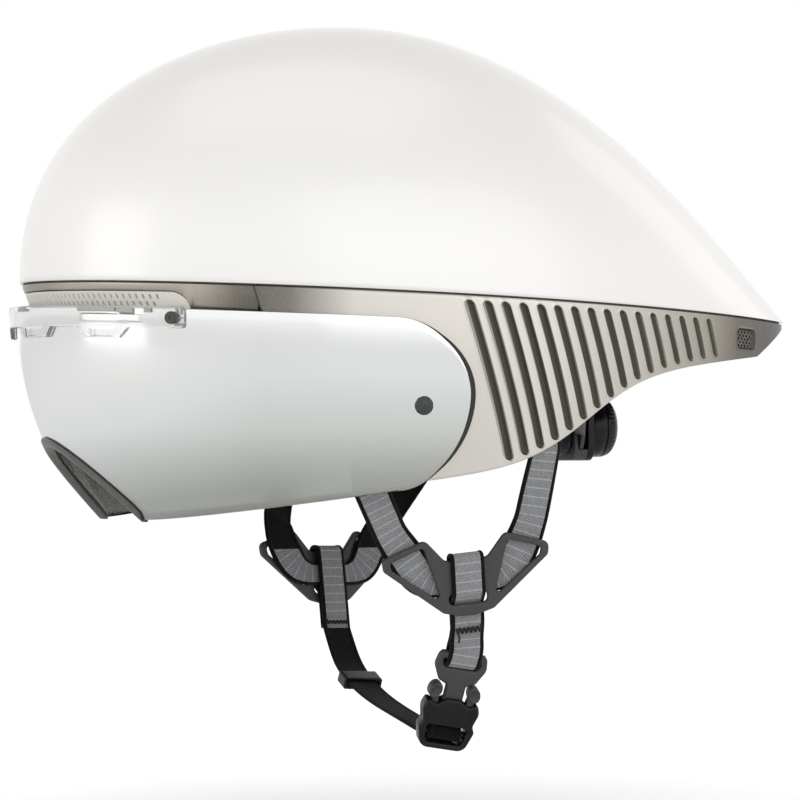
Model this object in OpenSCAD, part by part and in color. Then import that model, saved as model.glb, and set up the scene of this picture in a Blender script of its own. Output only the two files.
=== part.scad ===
// Time-trial cycling helmet with a magnetic wrap-around visor, a rear fit
// cradle turned in by a dial, and a webbing harness closed by a side buckle.
// Millimetres. X runs from the front to the tail, Y to the wearer's right,
// Z up. The origin lies on the centre plane, on the seam under the crown.

/* [Outer shell] */
// Reach of the shell in front of the crown
shell_front = 145; // [138:1:152]
// Reach of the tail behind the crown
shell_tail = 208; // [200:1:216]
// Half of the shell's greatest width
shell_half_w = 98; // [95:0.5:102]
// How far behind the crown the shell is widest
wide_x = 15; // [10:1:20]
// Height of the crown above the seam
crown_h = 120.5; // [116:0.5:126]
// Fall of the seam for each millimetre towards the tail
seam_slope = 0.0385; // [0.03:0.001:0.045]
// Fullness of the front profile, smaller is blunter
front_fullness = 0.0024; // [0.0022:0.0001:0.0027]
// Sharpness of the tail profile, larger is more pointed
tail_sharpness = 0.0031; // [0.0028:0.0001:0.0034]
// Fullness of the cross-section, 0.5 is an ellipse
side_fullness = 0.52; // [0.46:0.01:0.58]
// Wall of the outer shell
shell_wall = 2; // [1.6:0.1:2.4]

/* [Seam gasket] */
// Height of the dark strip under the shell
gasket_h = 1.2; // [0.8:0.1:1.6]
// How far the strip is set in from the shell's face
gasket_inset = 1.6; // [1.2:0.1:2]
// Width of the strip
gasket_w = 2; // [1.5:0.1:2.5]

/* [Lower panels] */
// How far the panels are set in from the shell's face
panel_inset = 0.8; // [0.5:0.1:1.2]
// Wall of the panels and of the brow band
panel_wall = 4; // [3.8:0.1:4.5]
// Inward tuck of the sides below the seam, times 10000
side_tuck = 3.2; // [2.8:0.1:3.6]
// Inward tuck of the front below the seam, times 10000
front_tuck = 8.3; // [7.8:0.1:8.8]
// Angle round from the front at which the brow band meets the panels
band_angle = 61.5; // [59:0.5:64]
// Depth of the brow edge below the seam
brow_depth = 30; // [27:0.5:32]
// Depth of the lower edge where it sweeps up
edge_depth = 50; // [47:0.5:53]
// How far in front of the tail tip the lower edge falls fastest
edge_back = 121; // [117:1:125]
// Steady rise of the lower edge for each millimetre
edge_rise = 0.147; // [0.13:0.001:0.16]
// Height of the sweep above and below its middle
edge_step = 18.2; // [16:0.2:20]
// Length over which the sweep happens
edge_soft = 29; // [25:1:33]
// Depth left at the tip of the tail
tip_depth = 3; // [2.5:0.5:5]
// Gap between the two panels along the tail's centre line
tail_gap = 0.4; // [0.3:0.1:0.8]

/* [Panel slots] */
// Number of slots in each side panel
slot_count = 16; // [10:1:16]
// How far behind the crown the first slot's top lies
slot_first_x = 27.7; // [26:0.1:30]
// Spacing of the slots
slot_pitch = 8.25; // [7.8:0.05:8.4]
// Depth of the slots' tops below the seam
slot_top = 4.6; // [4.2:0.1:6]
// Distance of the slots' lower ends from the edge
slot_margin = 4.4; // [4:0.1:6]
// Lean of the slots towards the tail
slot_lean = 0.33; // [0.2:0.01:0.4]
// Width of the first slot
slot_w_first = 4.2; // [3.6:0.1:4.6]
// Width of the last slot
slot_w_last = 3.4; // [3:0.1:3.8]
// How far the slot cutter's centre stands proud of the panel
slot_raise = 0.6; // [0.4:0.1:1]

/* [Tail ports] */
// How far in front of the tail tip the port's middle lies
port_back = 31; // [28:1:34]
// Depth of the port's middle below the seam
port_depth = 10; // [9:0.5:10.5]
// Width of the port
port_w = 17; // [14:0.5:18]
// Height of the port
port_h = 9; // [8:0.5:10]
// Corner radius of the port
port_r = 2.5; // [2:0.5:3.5]
// Thickness of the mesh behind the port
mesh_t = 1; // [0.8:0.1:1.5]
// Spacing of the mesh's bars
mesh_pitch = 3.2; // [3:0.1:4]
// Width of the mesh's bars
mesh_bar = 0.9; // [0.7:0.1:1.1]

/* [Brow insert] */
// Inward lean of the brow band at the front
brow_lean = 0.35; // [0.3:0.01:0.4]
// Angle round from the front at which the insert ends
insert_angle = 50.3; // [47:0.1:52]
// Depth of the insert's top edge below the seam
insert_top = 4.3; // [3.8:0.1:5]
// Depth of the insert's lower edge below the seam
insert_low = 15; // [14:0.5:17]
// Angle over which the insert's end is rounded
insert_round = 6.3; // [5:0.1:8]
// Thickness of the insert
insert_t = 1.6; // [1.4:0.1:2]
// Number of perforations in each row
perf_count = 34; // [20:2:36]
// Angle between neighbouring perforations
perf_pitch = 2.75; // [2.5:0.05:2.85]
// Width of a perforation
perf_w = 0.9; // [0.7:0.1:1.1]
// Height of a perforation
perf_h = 1.9; // [1.6:0.1:2.2]

/* [Liner] */
// Thickness of the foam at the brow
liner_brow = 38; // [36:0.5:41]
// Reach of the head cavity behind its middle
cavity_rear = 100; // [98:0.5:102]
// How far in front of the crown the cavity's middle lies
cavity_x = -4; // [-6:0.5:-2]
// Thickness of the foam at the widest place
liner_side = 21; // [19:0.5:23]
// Thickness of the foam at the crown
liner_top = 36.5; // [32.5:0.5:40.5]
// Level of the cavity's widest ring
cavity_mid_z = -8; // [-12:1:-4]
// Depth of the liner's inner edge at the brow and the nape
liner_low = 28; // [26:1:29]
// Extra depth of the liner's inner edge over the ears
liner_ear = 34; // [30:1:36]
// How far the liner's outer edge stays above the panel's edge
liner_back = 20; // [17:1:22]

/* [Pads] */
// Thickness of the comfort pads
pad_t = 7; // [6:0.5:8]
// Thickness of the pads' edges
pad_edge = 2.2; // [1.8:0.1:2.6]
// Half angle that the brow pad covers
brow_pad_angle = 46; // [40:1:50]
// Height of the brow pad
brow_pad_h = 24; // [20:1:26]
// Angle from the front at which a temple pad starts
temple_pad_front = 58; // [55:1:62]
// Angle from the front at which a temple pad ends
temple_pad_rear = 98; // [92:1:100]
// Height of a temple pad
temple_pad_h = 28; // [24:1:30]
// Half width of the crown pad
crown_pad_w = 14; // [12:1:16]
// Half angle that the crown pad covers from front to rear
crown_pad_angle = 42; // [36:1:46]

/* [Visor] */
// Gap between the visor and the shell's face line
visor_gap = 0.6; // [0.5:0.1:0.9]
// Thickness of the lens
lens_t = 2; // [1.8:0.1:2.4]
// Depth of the lens's top edge below the seam
lens_top = 11.5; // [11:0.1:12.5]
// Depth of the lens's lower corner
lens_depth = 100; // [96:0.5:103]
// Depth of the nose notch's apex
notch_depth = 69; // [66:0.5:72]
// Angle at which the lens's lower corner lies
corner_angle = 34.5; // [32:0.5:37]
// Depth of the lens's lower edge at its rear
lens_rear_depth = 84; // [81:0.5:86]
// Angle at which the lens's rounded end starts
end_angle = 83; // [81:0.5:84]
// Angle that the rounded end covers
end_round = 10.7; // [9:0.1:12]
// Depth of the rounded end's rearmost point
end_depth = 43; // [41:0.5:46]
// Width of the rubber trim round the nose notch
trim_w = 3.4; // [2.8:0.1:4]
// How far the trim stands off the lens on each side
trim_t = 1.1; // [0.8:0.1:1.4]

/* [Visor bridge] */
// Angle that the clear bridge covers on each side
bridge_angle = 50; // [48:0.5:51]
// Height of the bridge
bridge_h = 9; // [8:0.5:10]
// Thickness of the bridge
bridge_t = 2; // [1.6:0.1:2.4]
// Height of the bridge's tabs
tab_h = 4.4; // [4:0.1:5]
// Radius of the bridge's screws
bridge_screw_r = 1.5; // [1.3:0.1:1.8]
// Angle of the bridge's screws
bridge_screw_angle = 47.4; // [46:0.2:48]

/* [Magnets] */
// Radius of the visor's domed magnet caps
cap_r = 4.2; // [3.8:0.1:4.6]
// Height of the caps over the lens
cap_h = 1.6; // [1.2:0.1:2]
// Angle round from the front of the caps
cap_angle = 87.2; // [86:0.2:88.5]
// Depth of the caps below the seam
cap_depth = 47.6; // [46:0.2:50]
// Radius of the stems through the lens
stem_r = 3; // [2.6:0.1:3.2]
// Radius of the magnets in the panels
dock_r = 4; // [3.6:0.1:4.4]
// Height of the magnets in the panels
dock_t = 2.4; // [2:0.1:2.8]

/* [Webbing] */
// Width of the webbing
web_w = 15; // [14:0.5:16]
// Thickness of the webbing
web_t = 1.4; // [1.2:0.1:1.6]
// Depth of the straps' anchors above the panel's edge
anchor_up = 9.5; // [9:0.5:11]
// Width of an anchor block
anchor_w = 17.6; // [17:0.2:19]
// Height of an anchor block
anchor_h = 9; // [8:0.5:10]
// Thickness of an anchor block
anchor_t = 4; // [3.6:0.1:4.4]
// How far in front of the crown the front anchors lie
anchor_front_x = -14; // [-17:0.5:-11]
// How far behind the crown the rear anchors lie
anchor_rear_x = 68; // [66:0.5:70]

/* [Strap divider] */
// Thickness of the divider plates
divider_t = 2.4; // [2:0.1:2.8]
// Half length of the divider along the shell
divider_half_w = 36.6; // [35:0.1:38]
// Radius of the divider's lower corners
divider_r = 3; // [2.6:0.1:3.4]
// Width of the divider's rails
divider_rail = 4.2; // [3.8:0.1:4.6]
// Level of the dividers' middles
divider_z = -118; // [-122:0.5:-114]
// How far behind the crown the left divider hangs
divider_left_x = 34; // [31:0.5:37]
// How far behind the crown the right divider hangs
divider_right_x = 6; // [3:0.5:9]
// Distance of the left divider from the centre plane
divider_left_y = 71; // [69:0.5:73]
// Distance of the right divider from the centre plane
divider_right_y = 68; // [66:0.5:70]
// Turn of the right divider, drawn round by its chin strap
divider_turn = 22; // [16:1:26]
// Lean of the dividers towards the chin
divider_lean = 9.5; // [7:0.5:12]
// Roll of the dividers, raised towards the tail
divider_roll = 6; // [4:0.5:8]

/* [Buckle] */
// How far behind the crown the buckle's middle hangs
buckle_x = 33.4; // [31:0.2:36]
// Distance of the buckle's middle from the centre plane
buckle_y = 48; // [46:0.5:50]
// Level of the buckle's middle
buckle_z = -178; // [-181:0.5:-175]
// Lean of the buckle towards the chin
buckle_lean = 18.7; // [16:0.5:21]
// Roll of the buckle towards the front
buckle_roll = 9.4; // [7:0.5:12]
// Width of the buckle's socket
buckle_w = 25; // [24.5:0.5:27]
// Height of the socket's body
socket_h = 11; // [10.5:0.5:12]
// Thickness of the socket
socket_t = 8; // [7.6:0.1:8.6]
// Wall of the socket
socket_wall = 1.6; // [1.4:0.1:1.8]
// Height of the web window's frame under the body
window_h = 11.5; // [11:0.5:12.5]
// Width of the plug's ring
ring_w = 23; // [22:0.5:24]
// Height of the plug's ring
ring_h = 14; // [13:0.5:15]
// Radius of the ring's bar
ring_bar = 1.9; // [1.7:0.1:2.1]
// Width of the ring's legs
ring_leg = 2.9; // [2.6:0.1:3.2]
// Width of the plug's neck between the prongs
neck_w = 8.4; // [8:0.2:9]
// Width of a prong's pad
prong_w = 4.8; // [4.4:0.1:5.2]
// Running clearance inside the buckle
buckle_gap = 0.3; // [0.25:0.05:0.4]

/* [Keeper] */
// Wall of the webbing keeper
keeper_wall = 1.4; // [1.2:0.1:1.8]
// Length of the keeper along the webbing
keeper_l = 8; // [7:0.5:9]

/* [Fit cradle] */
// How far behind the crown the dial's face of the housing lies
dial_x = 111; // [109:0.5:113]
// Level of the dial's axis
dial_z = -56; // [-58:0.5:-54]
// Radius of the dial
dial_r = 13.4; // [12.5:0.1:14]
// Thickness of the dial
dial_t = 13.6; // [12:0.1:15]
// Number of grip flutes round the dial
flute_count = 24; // [18:1:30]
// Half width of the housing
housing_half_w = 24; // [23.5:0.5:26]
// Half height of the housing
housing_half_h = 15; // [14.5:0.5:16]
// Thickness of the housing's walls
housing_wall = 1.8; // [1.6:0.1:2.2]
// Module of the pinion and racks
gear_module = 1.2; // [1.1:0.05:1.25]
// Number of teeth on the pinion
pinion_teeth = 10; // [10:1:11]
// Number of teeth in each rack's slot
rack_teeth = 7; // [6:1:7]
// Greatest turn of the dial each way
dial_turn = 60; // [45:5:60]
// Radius of the dial's axle
axle_r = 2; // [1.8:0.1:2.2]
// Running clearance between an axle and its bore
axle_gap = 0.05; // [0.03:0.01:0.08]
// Clearance between pieces that slide past each other
run_gap = 0.3; // [0.25:0.05:0.4]
// How far in front of the crown the cradle's pivots lie
pivot_x = -25; // [-28:0.5:-22]
// Level of the cradle's pivots
pivot_z = -36; // [-38:0.5:-34]
// Radius of the pivot pins
pivot_r = 2.5; // [2.2:0.1:2.8]
// Height of the belts
belt_h = 9; // [8:0.5:10]
// Thickness of the belts
belt_t = 2; // [1.6:0.1:2.4]

/* [Hidden] */
$fn = 48;
columns = 60;
tail_round = 1.7;
tail_share = 1.5;
tuck_power = 2.3;
tip_rise = 0.65;
face_sweep = 23;
insert_drop = 7.5;
fit_gap = 0.4;
seat_gap = 0.2;
pad_gap = 0.6;
TABS = [[12.8, 7.3], [33.5, 5.8]];
port_x = shell_tail - port_back;
edge_x = shell_tail - edge_back;
join_drop = 9;
cavity_front = shell_front + cavity_x - liner_brow;
cavity_half_w = shell_half_w - liner_side;
cavity_top = crown_h - liner_top;

// Curves that every shell follows

// Plan curve at angle a round from the front, set in by d.
function plan(a, d = 0) =
  let (c = cos(a), s = sin(a))
  c > 0
    ? [wide_x - (wide_x + shell_front - d) * c, (shell_half_w - d) * s]
    : [wide_x - (shell_tail - wide_x - tail_share * d) * c,
       (shell_half_w - d) * sign(s) * pow(abs(s), tail_round)];
function seam_z(x) = -seam_slope * x;
// Share of the front's tuck at angle a, from the plan curve's normal.
function front_share(a) =
  let (p = shell_half_w * max(cos(a), 0),
       q = (shell_front + wide_x) * sin(a))
  p == 0 ? 0 : p * p / (p * p + q * q);
function tuck(a, h) = h <= 0 ? 0 :
  (side_tuck + (front_tuck - side_tuck) * front_share(a))
    * 1e-4 * pow(h, tuck_power);
// Point at depth h below the seam, set in by d.
function low(a, h, d = 0) =
  let (p = plan(a, d + tuck(a, h))) [p.x, p.y, seam_z(p.x) - h];
// Point of the dome at climb t, 0 at the seam and 90 at the crown.
function dome(a, t, d = 0) =
  let (p = plan(a, d), z0 = seam_z(p.x), rise = crown_h - d - z0,
       r2 = p * p, c2 = p.x * p.x / r2, f = (1 - p.x / sqrt(r2)) / 2,
       along = front_fullness * f + tail_sharpness * (1 - f),
       across = side_fullness * crown_h / (shell_half_w * shell_half_w),
       e = (along * c2 + across * (1 - c2)) * r2 / rise)
  [p.x * cos(t), p.y * cos(t), z0 + rise * pow(sin(t), 2 * e)];
// Angle round from the front of the place x behind the crown.
function angle_at(x) =
  x > wide_x ? acos((wide_x - x) / (shell_tail - wide_x))
             : acos((wide_x - x) / (wide_x + shell_front));
// Heading of the plan curve's outward normal.
function heading(a) =
  let (t = plan(a + 0.5) - plan(a - 0.5)) atan2(-t.y, -t.x);
// Lean of the wall at depth h from the upright.
function wall_lean(a, h) = atan(tuck(a, h + 0.5) - tuck(a, h - 0.5));

function step_up(u) = 1 - 2 / (exp(2 * u) + 1);
// Depth of the panels' lower edge at x.
function edge(x) = min(
  edge_depth - edge_rise * (x - edge_x)
    - edge_step * step_up((x - edge_x) / edge_soft),
  tip_depth + tip_rise * (shell_tail - x));
function ease(u) = let (p = min(max(u, 0), 1)) p * p * (3 - 2 * p);
function face_ease(a) = ease((abs(a) - band_angle) / face_sweep);
// Depth of the lower edge all the way round, brow and panels.
function skirt(a) =
  brow_depth + (edge(plan(a).x) - brow_depth) * face_ease(a);

function unit(v) = v / norm(v);
function spread(n, from, to) = [for (i = [0:n]) from + (to - from) * i / n];

// Solids from grids of points

// Bowl between two stacks of closed rings, each with its own pole.
module bowl(outer, outer_pole, inner, inner_pole) {
  n = len(outer[0]);
  inside = len(outer) * n;
  poles = inside + len(inner) * n;
  last = inside - n;
  last_in = poles - n;
  polyhedron(
    concat([for (r = outer) each r], [for (r = inner) each r],
           [outer_pole, inner_pole]),
    [for (i = [0:len(outer) - 2], k = [0:n - 1])
       let (a = i * n + k, b = i * n + (k + 1) % n)
       each [[a, b, b + n], [a, b + n, a + n]],
     for (i = [0:len(inner) - 2], k = [0:n - 1])
       let (a = inside + i * n + k, b = inside + i * n + (k + 1) % n)
       each [[b, a, a + n], [b, a + n, b + n]],
     for (k = [0:n - 1])
       let (b = (k + 1) % n)
       each [[last + k, last + b, poles],
             [last_in + b, last_in + k, poles + 1],
             [b, k, inside + k], [b, inside + k, inside + b]]]);
}

// Slab between two open grids, outer[column][row] and inner[column][row].
module slab(outer, inner) {
  nr = len(outer[0]);
  nc = len(outer);
  base = nc * nr;
  end = base - nr;
  polyhedron(
    concat([for (c = outer) each c], [for (c = inner) each c]),
    [for (c = [0:nc - 2], r = [0:nr - 2])
       let (p = c * nr + r, q = p + nr)
       each [[p, p + 1, q + 1], [p, q + 1, q],
             [base + p + 1, base + p, base + q + 1],
             [base + q + 1, base + p, base + q]],
     for (c = [0:nc - 2])
       let (p = c * nr, q = p + nr, s = p + nr - 1, t = s + nr)
       each [[p, q, base + q], [p, base + q, base + p],
             [t, s, base + s], [t, base + s, base + t]],
     for (r = [0:nr - 2])
       let (s = end + r)
       each [[r + 1, r, base + r], [r + 1, base + r, base + r + 1],
             [s, s + 1, base + s + 1], [s, base + s + 1, base + s]]]);
}

// Ribbon of width w and thickness t along points, across the directions.
module ribbon(points, across, w, t) {
  n = len(points) - 1;
  tangent = [for (i = [0:n])
    unit(points[min(i + 1, n)] - points[max(i - 1, 0)])];
  side = [for (i = [0:n])
    unit(across[i] - (across[i] * tangent[i]) * tangent[i])];
  face = [for (i = [0:n]) cross(tangent[i], side[i])];
  slab(
    [for (i = [0:n]) [for (s = [-0.5, 0.5])
       points[i] + side[i] * w * s + face[i] * t / 2]],
    [for (i = [0:n]) [for (s = [-0.5, 0.5])
       points[i] + side[i] * w * s - face[i] * t / 2]]);
}
// Cut the corners of a path, n times.
function soften(p, n = 2) = n == 0 ? p : soften(
  [p[0], for (i = [0:len(p) - 2]) each [
     if (i > 0) p[i] * 0.75 + p[i + 1] * 0.25,
     if (i < len(p) - 2) p[i] * 0.25 + p[i + 1] * 0.75],
   p[len(p) - 1]], n - 1);

// Set a child on the wall, its Z outward and its Y up the wall.
module on_wall(a, h, d) {
  translate(low(a, h)) rotate([90 + wall_lean(a, h), 0, heading(a)])
    translate([0, 0, -d]) children();
}
module left() { mirror([0, 1, 0]) children(); }
module rounded(w, h, r) {
  square([w - 2 * r, h], center = true);
  square([w, h - 2 * r], center = true);
  for (x = [-1, 1], y = [-1, 1])
    translate([x * (w / 2 - r), y * (h / 2 - r)]) circle(r);
}

// Outer shell and gasket

ring_angles = [for (k = [0:columns - 1]) k * 360 / columns];
shell_climbs = [0, 6, 14, 23, 32, 42, 52, 62, 72, 82];
module upper_shell() {
  color("white") bowl(
    [for (t = shell_climbs) [for (a = ring_angles) dome(a, t)]],
    [0, 0, crown_h],
    [for (t = shell_climbs) [for (a = ring_angles) dome(a, t, shell_wall)]],
    [0, 0, crown_h - shell_wall]);
}

// Bar whose cross-sections are given one by one, round a loop or with the
// quads in caps closing its two ends.
module sweep(sections, loop = false, caps = [[0, 1, 2, 3]]) {
  n = len(sections[0]);
  m = len(sections);
  polyhedron(
    [for (s = sections) each s],
    [for (i = [0:m - (loop ? 1 : 2)], j = [0:n - 1])
       let (p = i * n + j, q = i * n + (j + 1) % n,
            s = (i + 1) % m * n + j, t = (i + 1) % m * n + (j + 1) % n)
       each [[p, q, t], [p, t, s]],
     if (!loop) for (c = caps) let (e = (m - 1) * n)
       each [[c[2], c[1], c[0]], [c[3], c[2], c[0]],
             [e + c[0], e + c[1], e + c[2]], [e + c[0], e + c[2], e + c[3]]]]);
}

module seam_gasket() {
  inside = gasket_inset + gasket_w;
  color("dimgray") sweep([for (a = ring_angles) [
    low(a, 0, gasket_inset), low(a, gasket_h, gasket_inset),
    low(a, gasket_h, inside), low(a, 0, inside)]], loop = true);
}

// Brow band and its perforated insert

function band_lean(a) = brow_lean * max(cos(a * 90 / band_angle), 0);
function brow(a, h, d = 0) = low(a, h, panel_inset + band_lean(a) * h + d);
function insert_line(a) =
  let (u = max(abs(a) - insert_angle + insert_round, 0) / insert_round)
  insert_top + insert_drop * (1 - sqrt(max(1 - u * u, 0)));

recess = insert_t + 2 * seat_gap;
module brow_band() {
  lip = insert_angle + 0.4;
  side = spread(3, lip + 0.3, band_angle);
  middle = spread(30, -lip, lip);
  angles = concat([for (a = [3:-1:0]) -side[a]], middle, side);
  function rows(a) = let (top = abs(a) > lip + 0.1 ? insert_line(lip)
                        : insert_line(a) - seat_gap)
    [gasket_h, top, top + 0.1, insert_low + seat_gap,
     insert_low + seat_gap + 0.1, brow_depth];
  function cut(a, r) = abs(a) <= lip + 0.1 && r > 1 && r < 4 ? recess : 0;
  color("tan") slab(
    [for (a = angles) let (h = rows(a))
      [for (r = [0:5]) brow(a, h[r], cut(a, r))]],
    [for (a = angles) let (h = rows(a))
      [for (r = [0:5]) brow(a, h[r], panel_wall)]]);
}

module brow_insert() {
  angles = spread(34, -insert_angle, insert_angle);
  function rows(a) = spread(3, min(insert_line(a), insert_low - 0.5),
                            insert_low);
  first = -(perf_count - 1) / 2 * perf_pitch;
  color("whitesmoke") difference() {
    slab([for (a = angles) [for (h = rows(a)) brow(a, h, seat_gap)]],
         [for (a = angles) [for (h = rows(a)) brow(a, h, seat_gap + insert_t)]]);
    for (row = [0, 1], i = [0:perf_count - 1])
      let (a = first + (i + row / 2) * perf_pitch,
           h = insert_top + 2.2 + row * 3,
           p = brow(a, h, insert_t / 2))
      if (abs(a) < insert_angle - insert_round + 1)
        translate(p) rotate([90, 0, heading(a)]) rotate(sign(a) * -20)
          cube([perf_w, perf_h, 4 * insert_t], center = true);
  }
}

// Side panels with their slots and ports

module slots() {
  function low_end(x, h, n = 6) = n == 0 ? h :
    low_end(x, edge(x + slot_lean * (h - slot_top)) - slot_margin, n - 1);
  for (i = [0:slot_count - 1]) {
    x = slot_first_x + i * slot_pitch;
    end = low_end(x, edge(x) - slot_margin);
    r = slot_w_first / 2
      + (slot_w_last - slot_w_first) / 2 * i / (slot_count - 1);
    hull() for (h = spread(2, slot_top, end))
      translate(low(angle_at(x + slot_lean * (h - slot_top)), h,
                    panel_inset - slot_raise))
        sphere(r, $fn = 12);
  }
}

module side_panel_right() {
  angles = concat(spread(8, band_angle, 84), spread(31, 87, 180));
  function rows(a) = spread(5, gasket_h, max(skirt(a), gasket_h + 1));
  function open(p) = [p.x, max(p.y, tail_gap / 2), p.z];
  color("silver") difference() {
    slab(
      [for (a = angles) [for (h = rows(a)) open(low(a, h, panel_inset))]],
      [for (a = angles) [for (h = rows(a))
        open(low(a, h, panel_inset + panel_wall))]]);
    slots();
    on_wall(angle_at(port_x), port_depth, panel_inset + panel_wall / 2)
      linear_extrude(3 * panel_wall, center = true)
        rounded(port_w, port_h, port_r, $fn = 24);
    on_wall(cap_angle, cap_depth, panel_inset + dock_t)
      cylinder(r = dock_r + seat_gap / 2, h = panel_wall, $fn = 32);
  }
}
module side_panel_left() { left() side_panel_right(); }

module port_mesh_right() {
  w = port_w - seat_gap;
  h = port_h - seat_gap;
  nx = floor((w - mesh_bar) / mesh_pitch);
  ny = floor((h - mesh_bar) / mesh_pitch);
  color("black")
    on_wall(angle_at(port_x), port_depth, panel_inset + panel_wall - mesh_t)
      linear_extrude(mesh_t) difference() {
        rounded(w, h, port_r - seat_gap / 2, $fn = 24);
        for (i = [0:nx - 1], j = [0:ny - 1])
          translate([(i - (nx - 1) / 2) * mesh_pitch,
                     (j - (ny - 1) / 2) * mesh_pitch])
            square(mesh_pitch - mesh_bar, center = true);
      }
}
module port_mesh_left() { left() port_mesh_right(); }

// Liner and pads

// Wall of the head cavity, brought in by d.
function cavity(a, t, d = 0) = [
  cavity_x - ((cos(a) > 0 ? cavity_front : cavity_rear) - d)
    * cos(a) * cos(t),
  (cavity_half_w - d) * sin(a) * cos(t),
  cavity_mid_z + (cavity_top - cavity_mid_z - d) * sin(t)];
function liner_rim(a) =
  liner_low + liner_ear * exp(-pow((abs(a > 180 ? a - 360 : a) - 92) / 28, 2));
module liner() {
  behind = panel_inset + panel_wall + fit_gap;
  under = shell_wall + fit_gap;
  function round_angle(a) = a > 180 ? a - 360 : a;
  function edge_h(a) =
    max(skirt(a) - 1 - liner_back * face_ease(a), tip_depth + 2);
  function outside(a, f) = let (b = round_angle(a), h = edge_h(b) * f)
    low(b, h, behind + band_lean(min(abs(b), band_angle)) * h);
  climbs = [for (i = [2:2:len(shell_climbs) - 1]) shell_climbs[i]];
  color("lightslategray") bowl(
    concat([for (f = [1, 0.5, 0]) [for (a = ring_angles) outside(a, f)]],
           [for (t = climbs) [for (a = ring_angles) dome(a, t, under)]]),
    [0, 0, crown_h - under],
    concat([for (f = [1, 0.5]) [for (a = ring_angles)
              let (c = cavity(a, 0)) [c.x, c.y,
                cavity_mid_z - (liner_rim(a) + cavity_mid_z) * f]]],
           [for (t = [0:10:80])
              [for (a = ring_angles) cavity(a, t)]]),
    [cavity_x, 0, cavity_top]);
}

// Thickness of a pad at u along and v across it, each from -1 to 1.
function pad_depth(u, v) =
  pad_edge + (pad_t - pad_edge) * (1 - pow(abs(u), 6)) * (1 - pow(v, 4));
// Pad on the cavity wall from angle a0 to a1, between levels z0 and z1.
module wall_pad(a0, a1, z0, z1, nu) {
  us = spread(nu, -1, 1);
  function spot(u, v, d) =
    let (a = (a0 + a1) / 2 + (a1 - a0) / 2 * u,
         half = (z1 - z0) / 2 * pow(1 - pow(abs(u) * 0.98, 8), 0.5),
         z = (z0 + z1) / 2 - half * v,
         t = z > cavity_mid_z
           ? asin((z - cavity_mid_z) / (cavity_top - cavity_mid_z)) : 0,
         c = cavity(a, t, d))
    [c.x, c.y, z];
  slab(
    [for (u = us) [for (v = spread(6, -1, 1)) spot(u, v, pad_gap)]],
    [for (u = us) [for (v = spread(6, -1, 1))
      spot(u, v, pad_gap + pad_depth(u, v))]]);
}
module brow_pad() {
  color("darkslategray") wall_pad(-brow_pad_angle, brow_pad_angle,
    -liner_low + 2, -liner_low + 2 + brow_pad_h, 14);
}
module temple_pad_right() {
  color("darkslategray") wall_pad(temple_pad_front, temple_pad_rear,
    -liner_low + 2, -liner_low + 2 + temple_pad_h, 8);
}
module temple_pad_left() { left() temple_pad_right(); }
module crown_pad() {
  function spot(u, v, d) =
    let (f = crown_pad_angle * u,
         w = crown_pad_w * v * pow(1 - pow(abs(u) * 0.98, 8), 0.5),
         b = asin(w / cavity_half_w),
         l = (f < 0 ? cavity_front : cavity_rear) - d)
    [cavity_x + l * sin(f) * cos(b), w,
     cavity_mid_z + (cavity_top - cavity_mid_z - d) * cos(f) * cos(b)];
  us = spread(12, -1, 1);
  vs = spread(5, -1, 1);
  color("darkslategray") slab(
    [for (u = us) [for (v = vs) spot(u, v, pad_gap)]],
    [for (u = us) [for (v = vs) spot(u, v, pad_gap + pad_depth(u, v))]]);
}

// Visor

lens_in = -visor_gap;
lens_out = -visor_gap - lens_t;
function lens_end(a) = min((abs(a) - end_angle) / end_round, 1);
function lens_high(a) = abs(a) < end_angle ? lens_top :
  end_depth - (end_depth - lens_top) * sqrt(1 - pow(lens_end(a), 2));
function lens_low(a) = let (b = abs(a))
  b < corner_angle
    ? notch_depth + (lens_depth - notch_depth) * pow(b / corner_angle, 1.95)
  : b < end_angle
    ? lens_depth - (lens_depth - lens_rear_depth)
        * pow((b - corner_angle) / (end_angle - corner_angle), 1.5)
  : end_depth + (lens_rear_depth - end_depth) * sqrt(1 - pow(lens_end(a), 2));
notch_angles = spread(7, 0, corner_angle);
lens_angles = let (half = concat(notch_angles,
    [for (a = spread(7, corner_angle, end_angle)) if (a > corner_angle) a],
    [for (s = [20, 38, 54, 68, 79, 87]) end_angle + end_round * sin(s)]))
  concat([for (i = [len(half) - 1:-1:1]) -half[i]], half);

module lens() {
  function rows(a) = spread(6, lens_high(a), lens_low(a));
  color("lightcyan", 0.6) difference() {
    slab(
      [for (a = lens_angles) [for (h = rows(a)) low(a, h, lens_out)]],
      [for (a = lens_angles) [for (h = rows(a)) low(a, h, lens_in)]]);
    for (m = [0, 1]) mirror([0, m, 0]) {
      on_wall(cap_angle, cap_depth, 0)
        cylinder(r = stem_r, h = 4 * lens_t, center = true);
      on_wall(bridge_screw_angle, bridge_mid, 0)
        cylinder(r = bridge_screw_r + seat_gap / 2, h = 6 * lens_t,
                 center = true);
    }
  }
}

module nose_trim() {
  angles = concat([for (i = [7:-1:1]) -notch_angles[i]], notch_angles);
  o = lens_out - seat_gap;
  i = lens_in + seat_gap;
  function fan(a) = let (da = 1, s = (lens_low(abs(a) + da)
      - lens_low(max(abs(a) - da, 0))) / (2 * da * PI / 180 * shell_half_w))
    sqrt(1 + s * s);
  color("dimgray") sweep([for (a = angles)
    let (h = lens_low(min(abs(a), corner_angle - 0.1)), w = trim_w * fan(a))
    [low(a, h - w, o - trim_t), low(a, h + trim_t, o - trim_t),
     low(a, h + trim_t, i + trim_t), low(a, h - w, i + trim_t),
     low(a, h - w, i), low(a, h + seat_gap, i),
     low(a, h + seat_gap, o), low(a, h - w, o)]],
    caps = [[0, 1, 6, 7], [1, 2, 5, 6], [2, 3, 4, 5]]);
}

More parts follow.
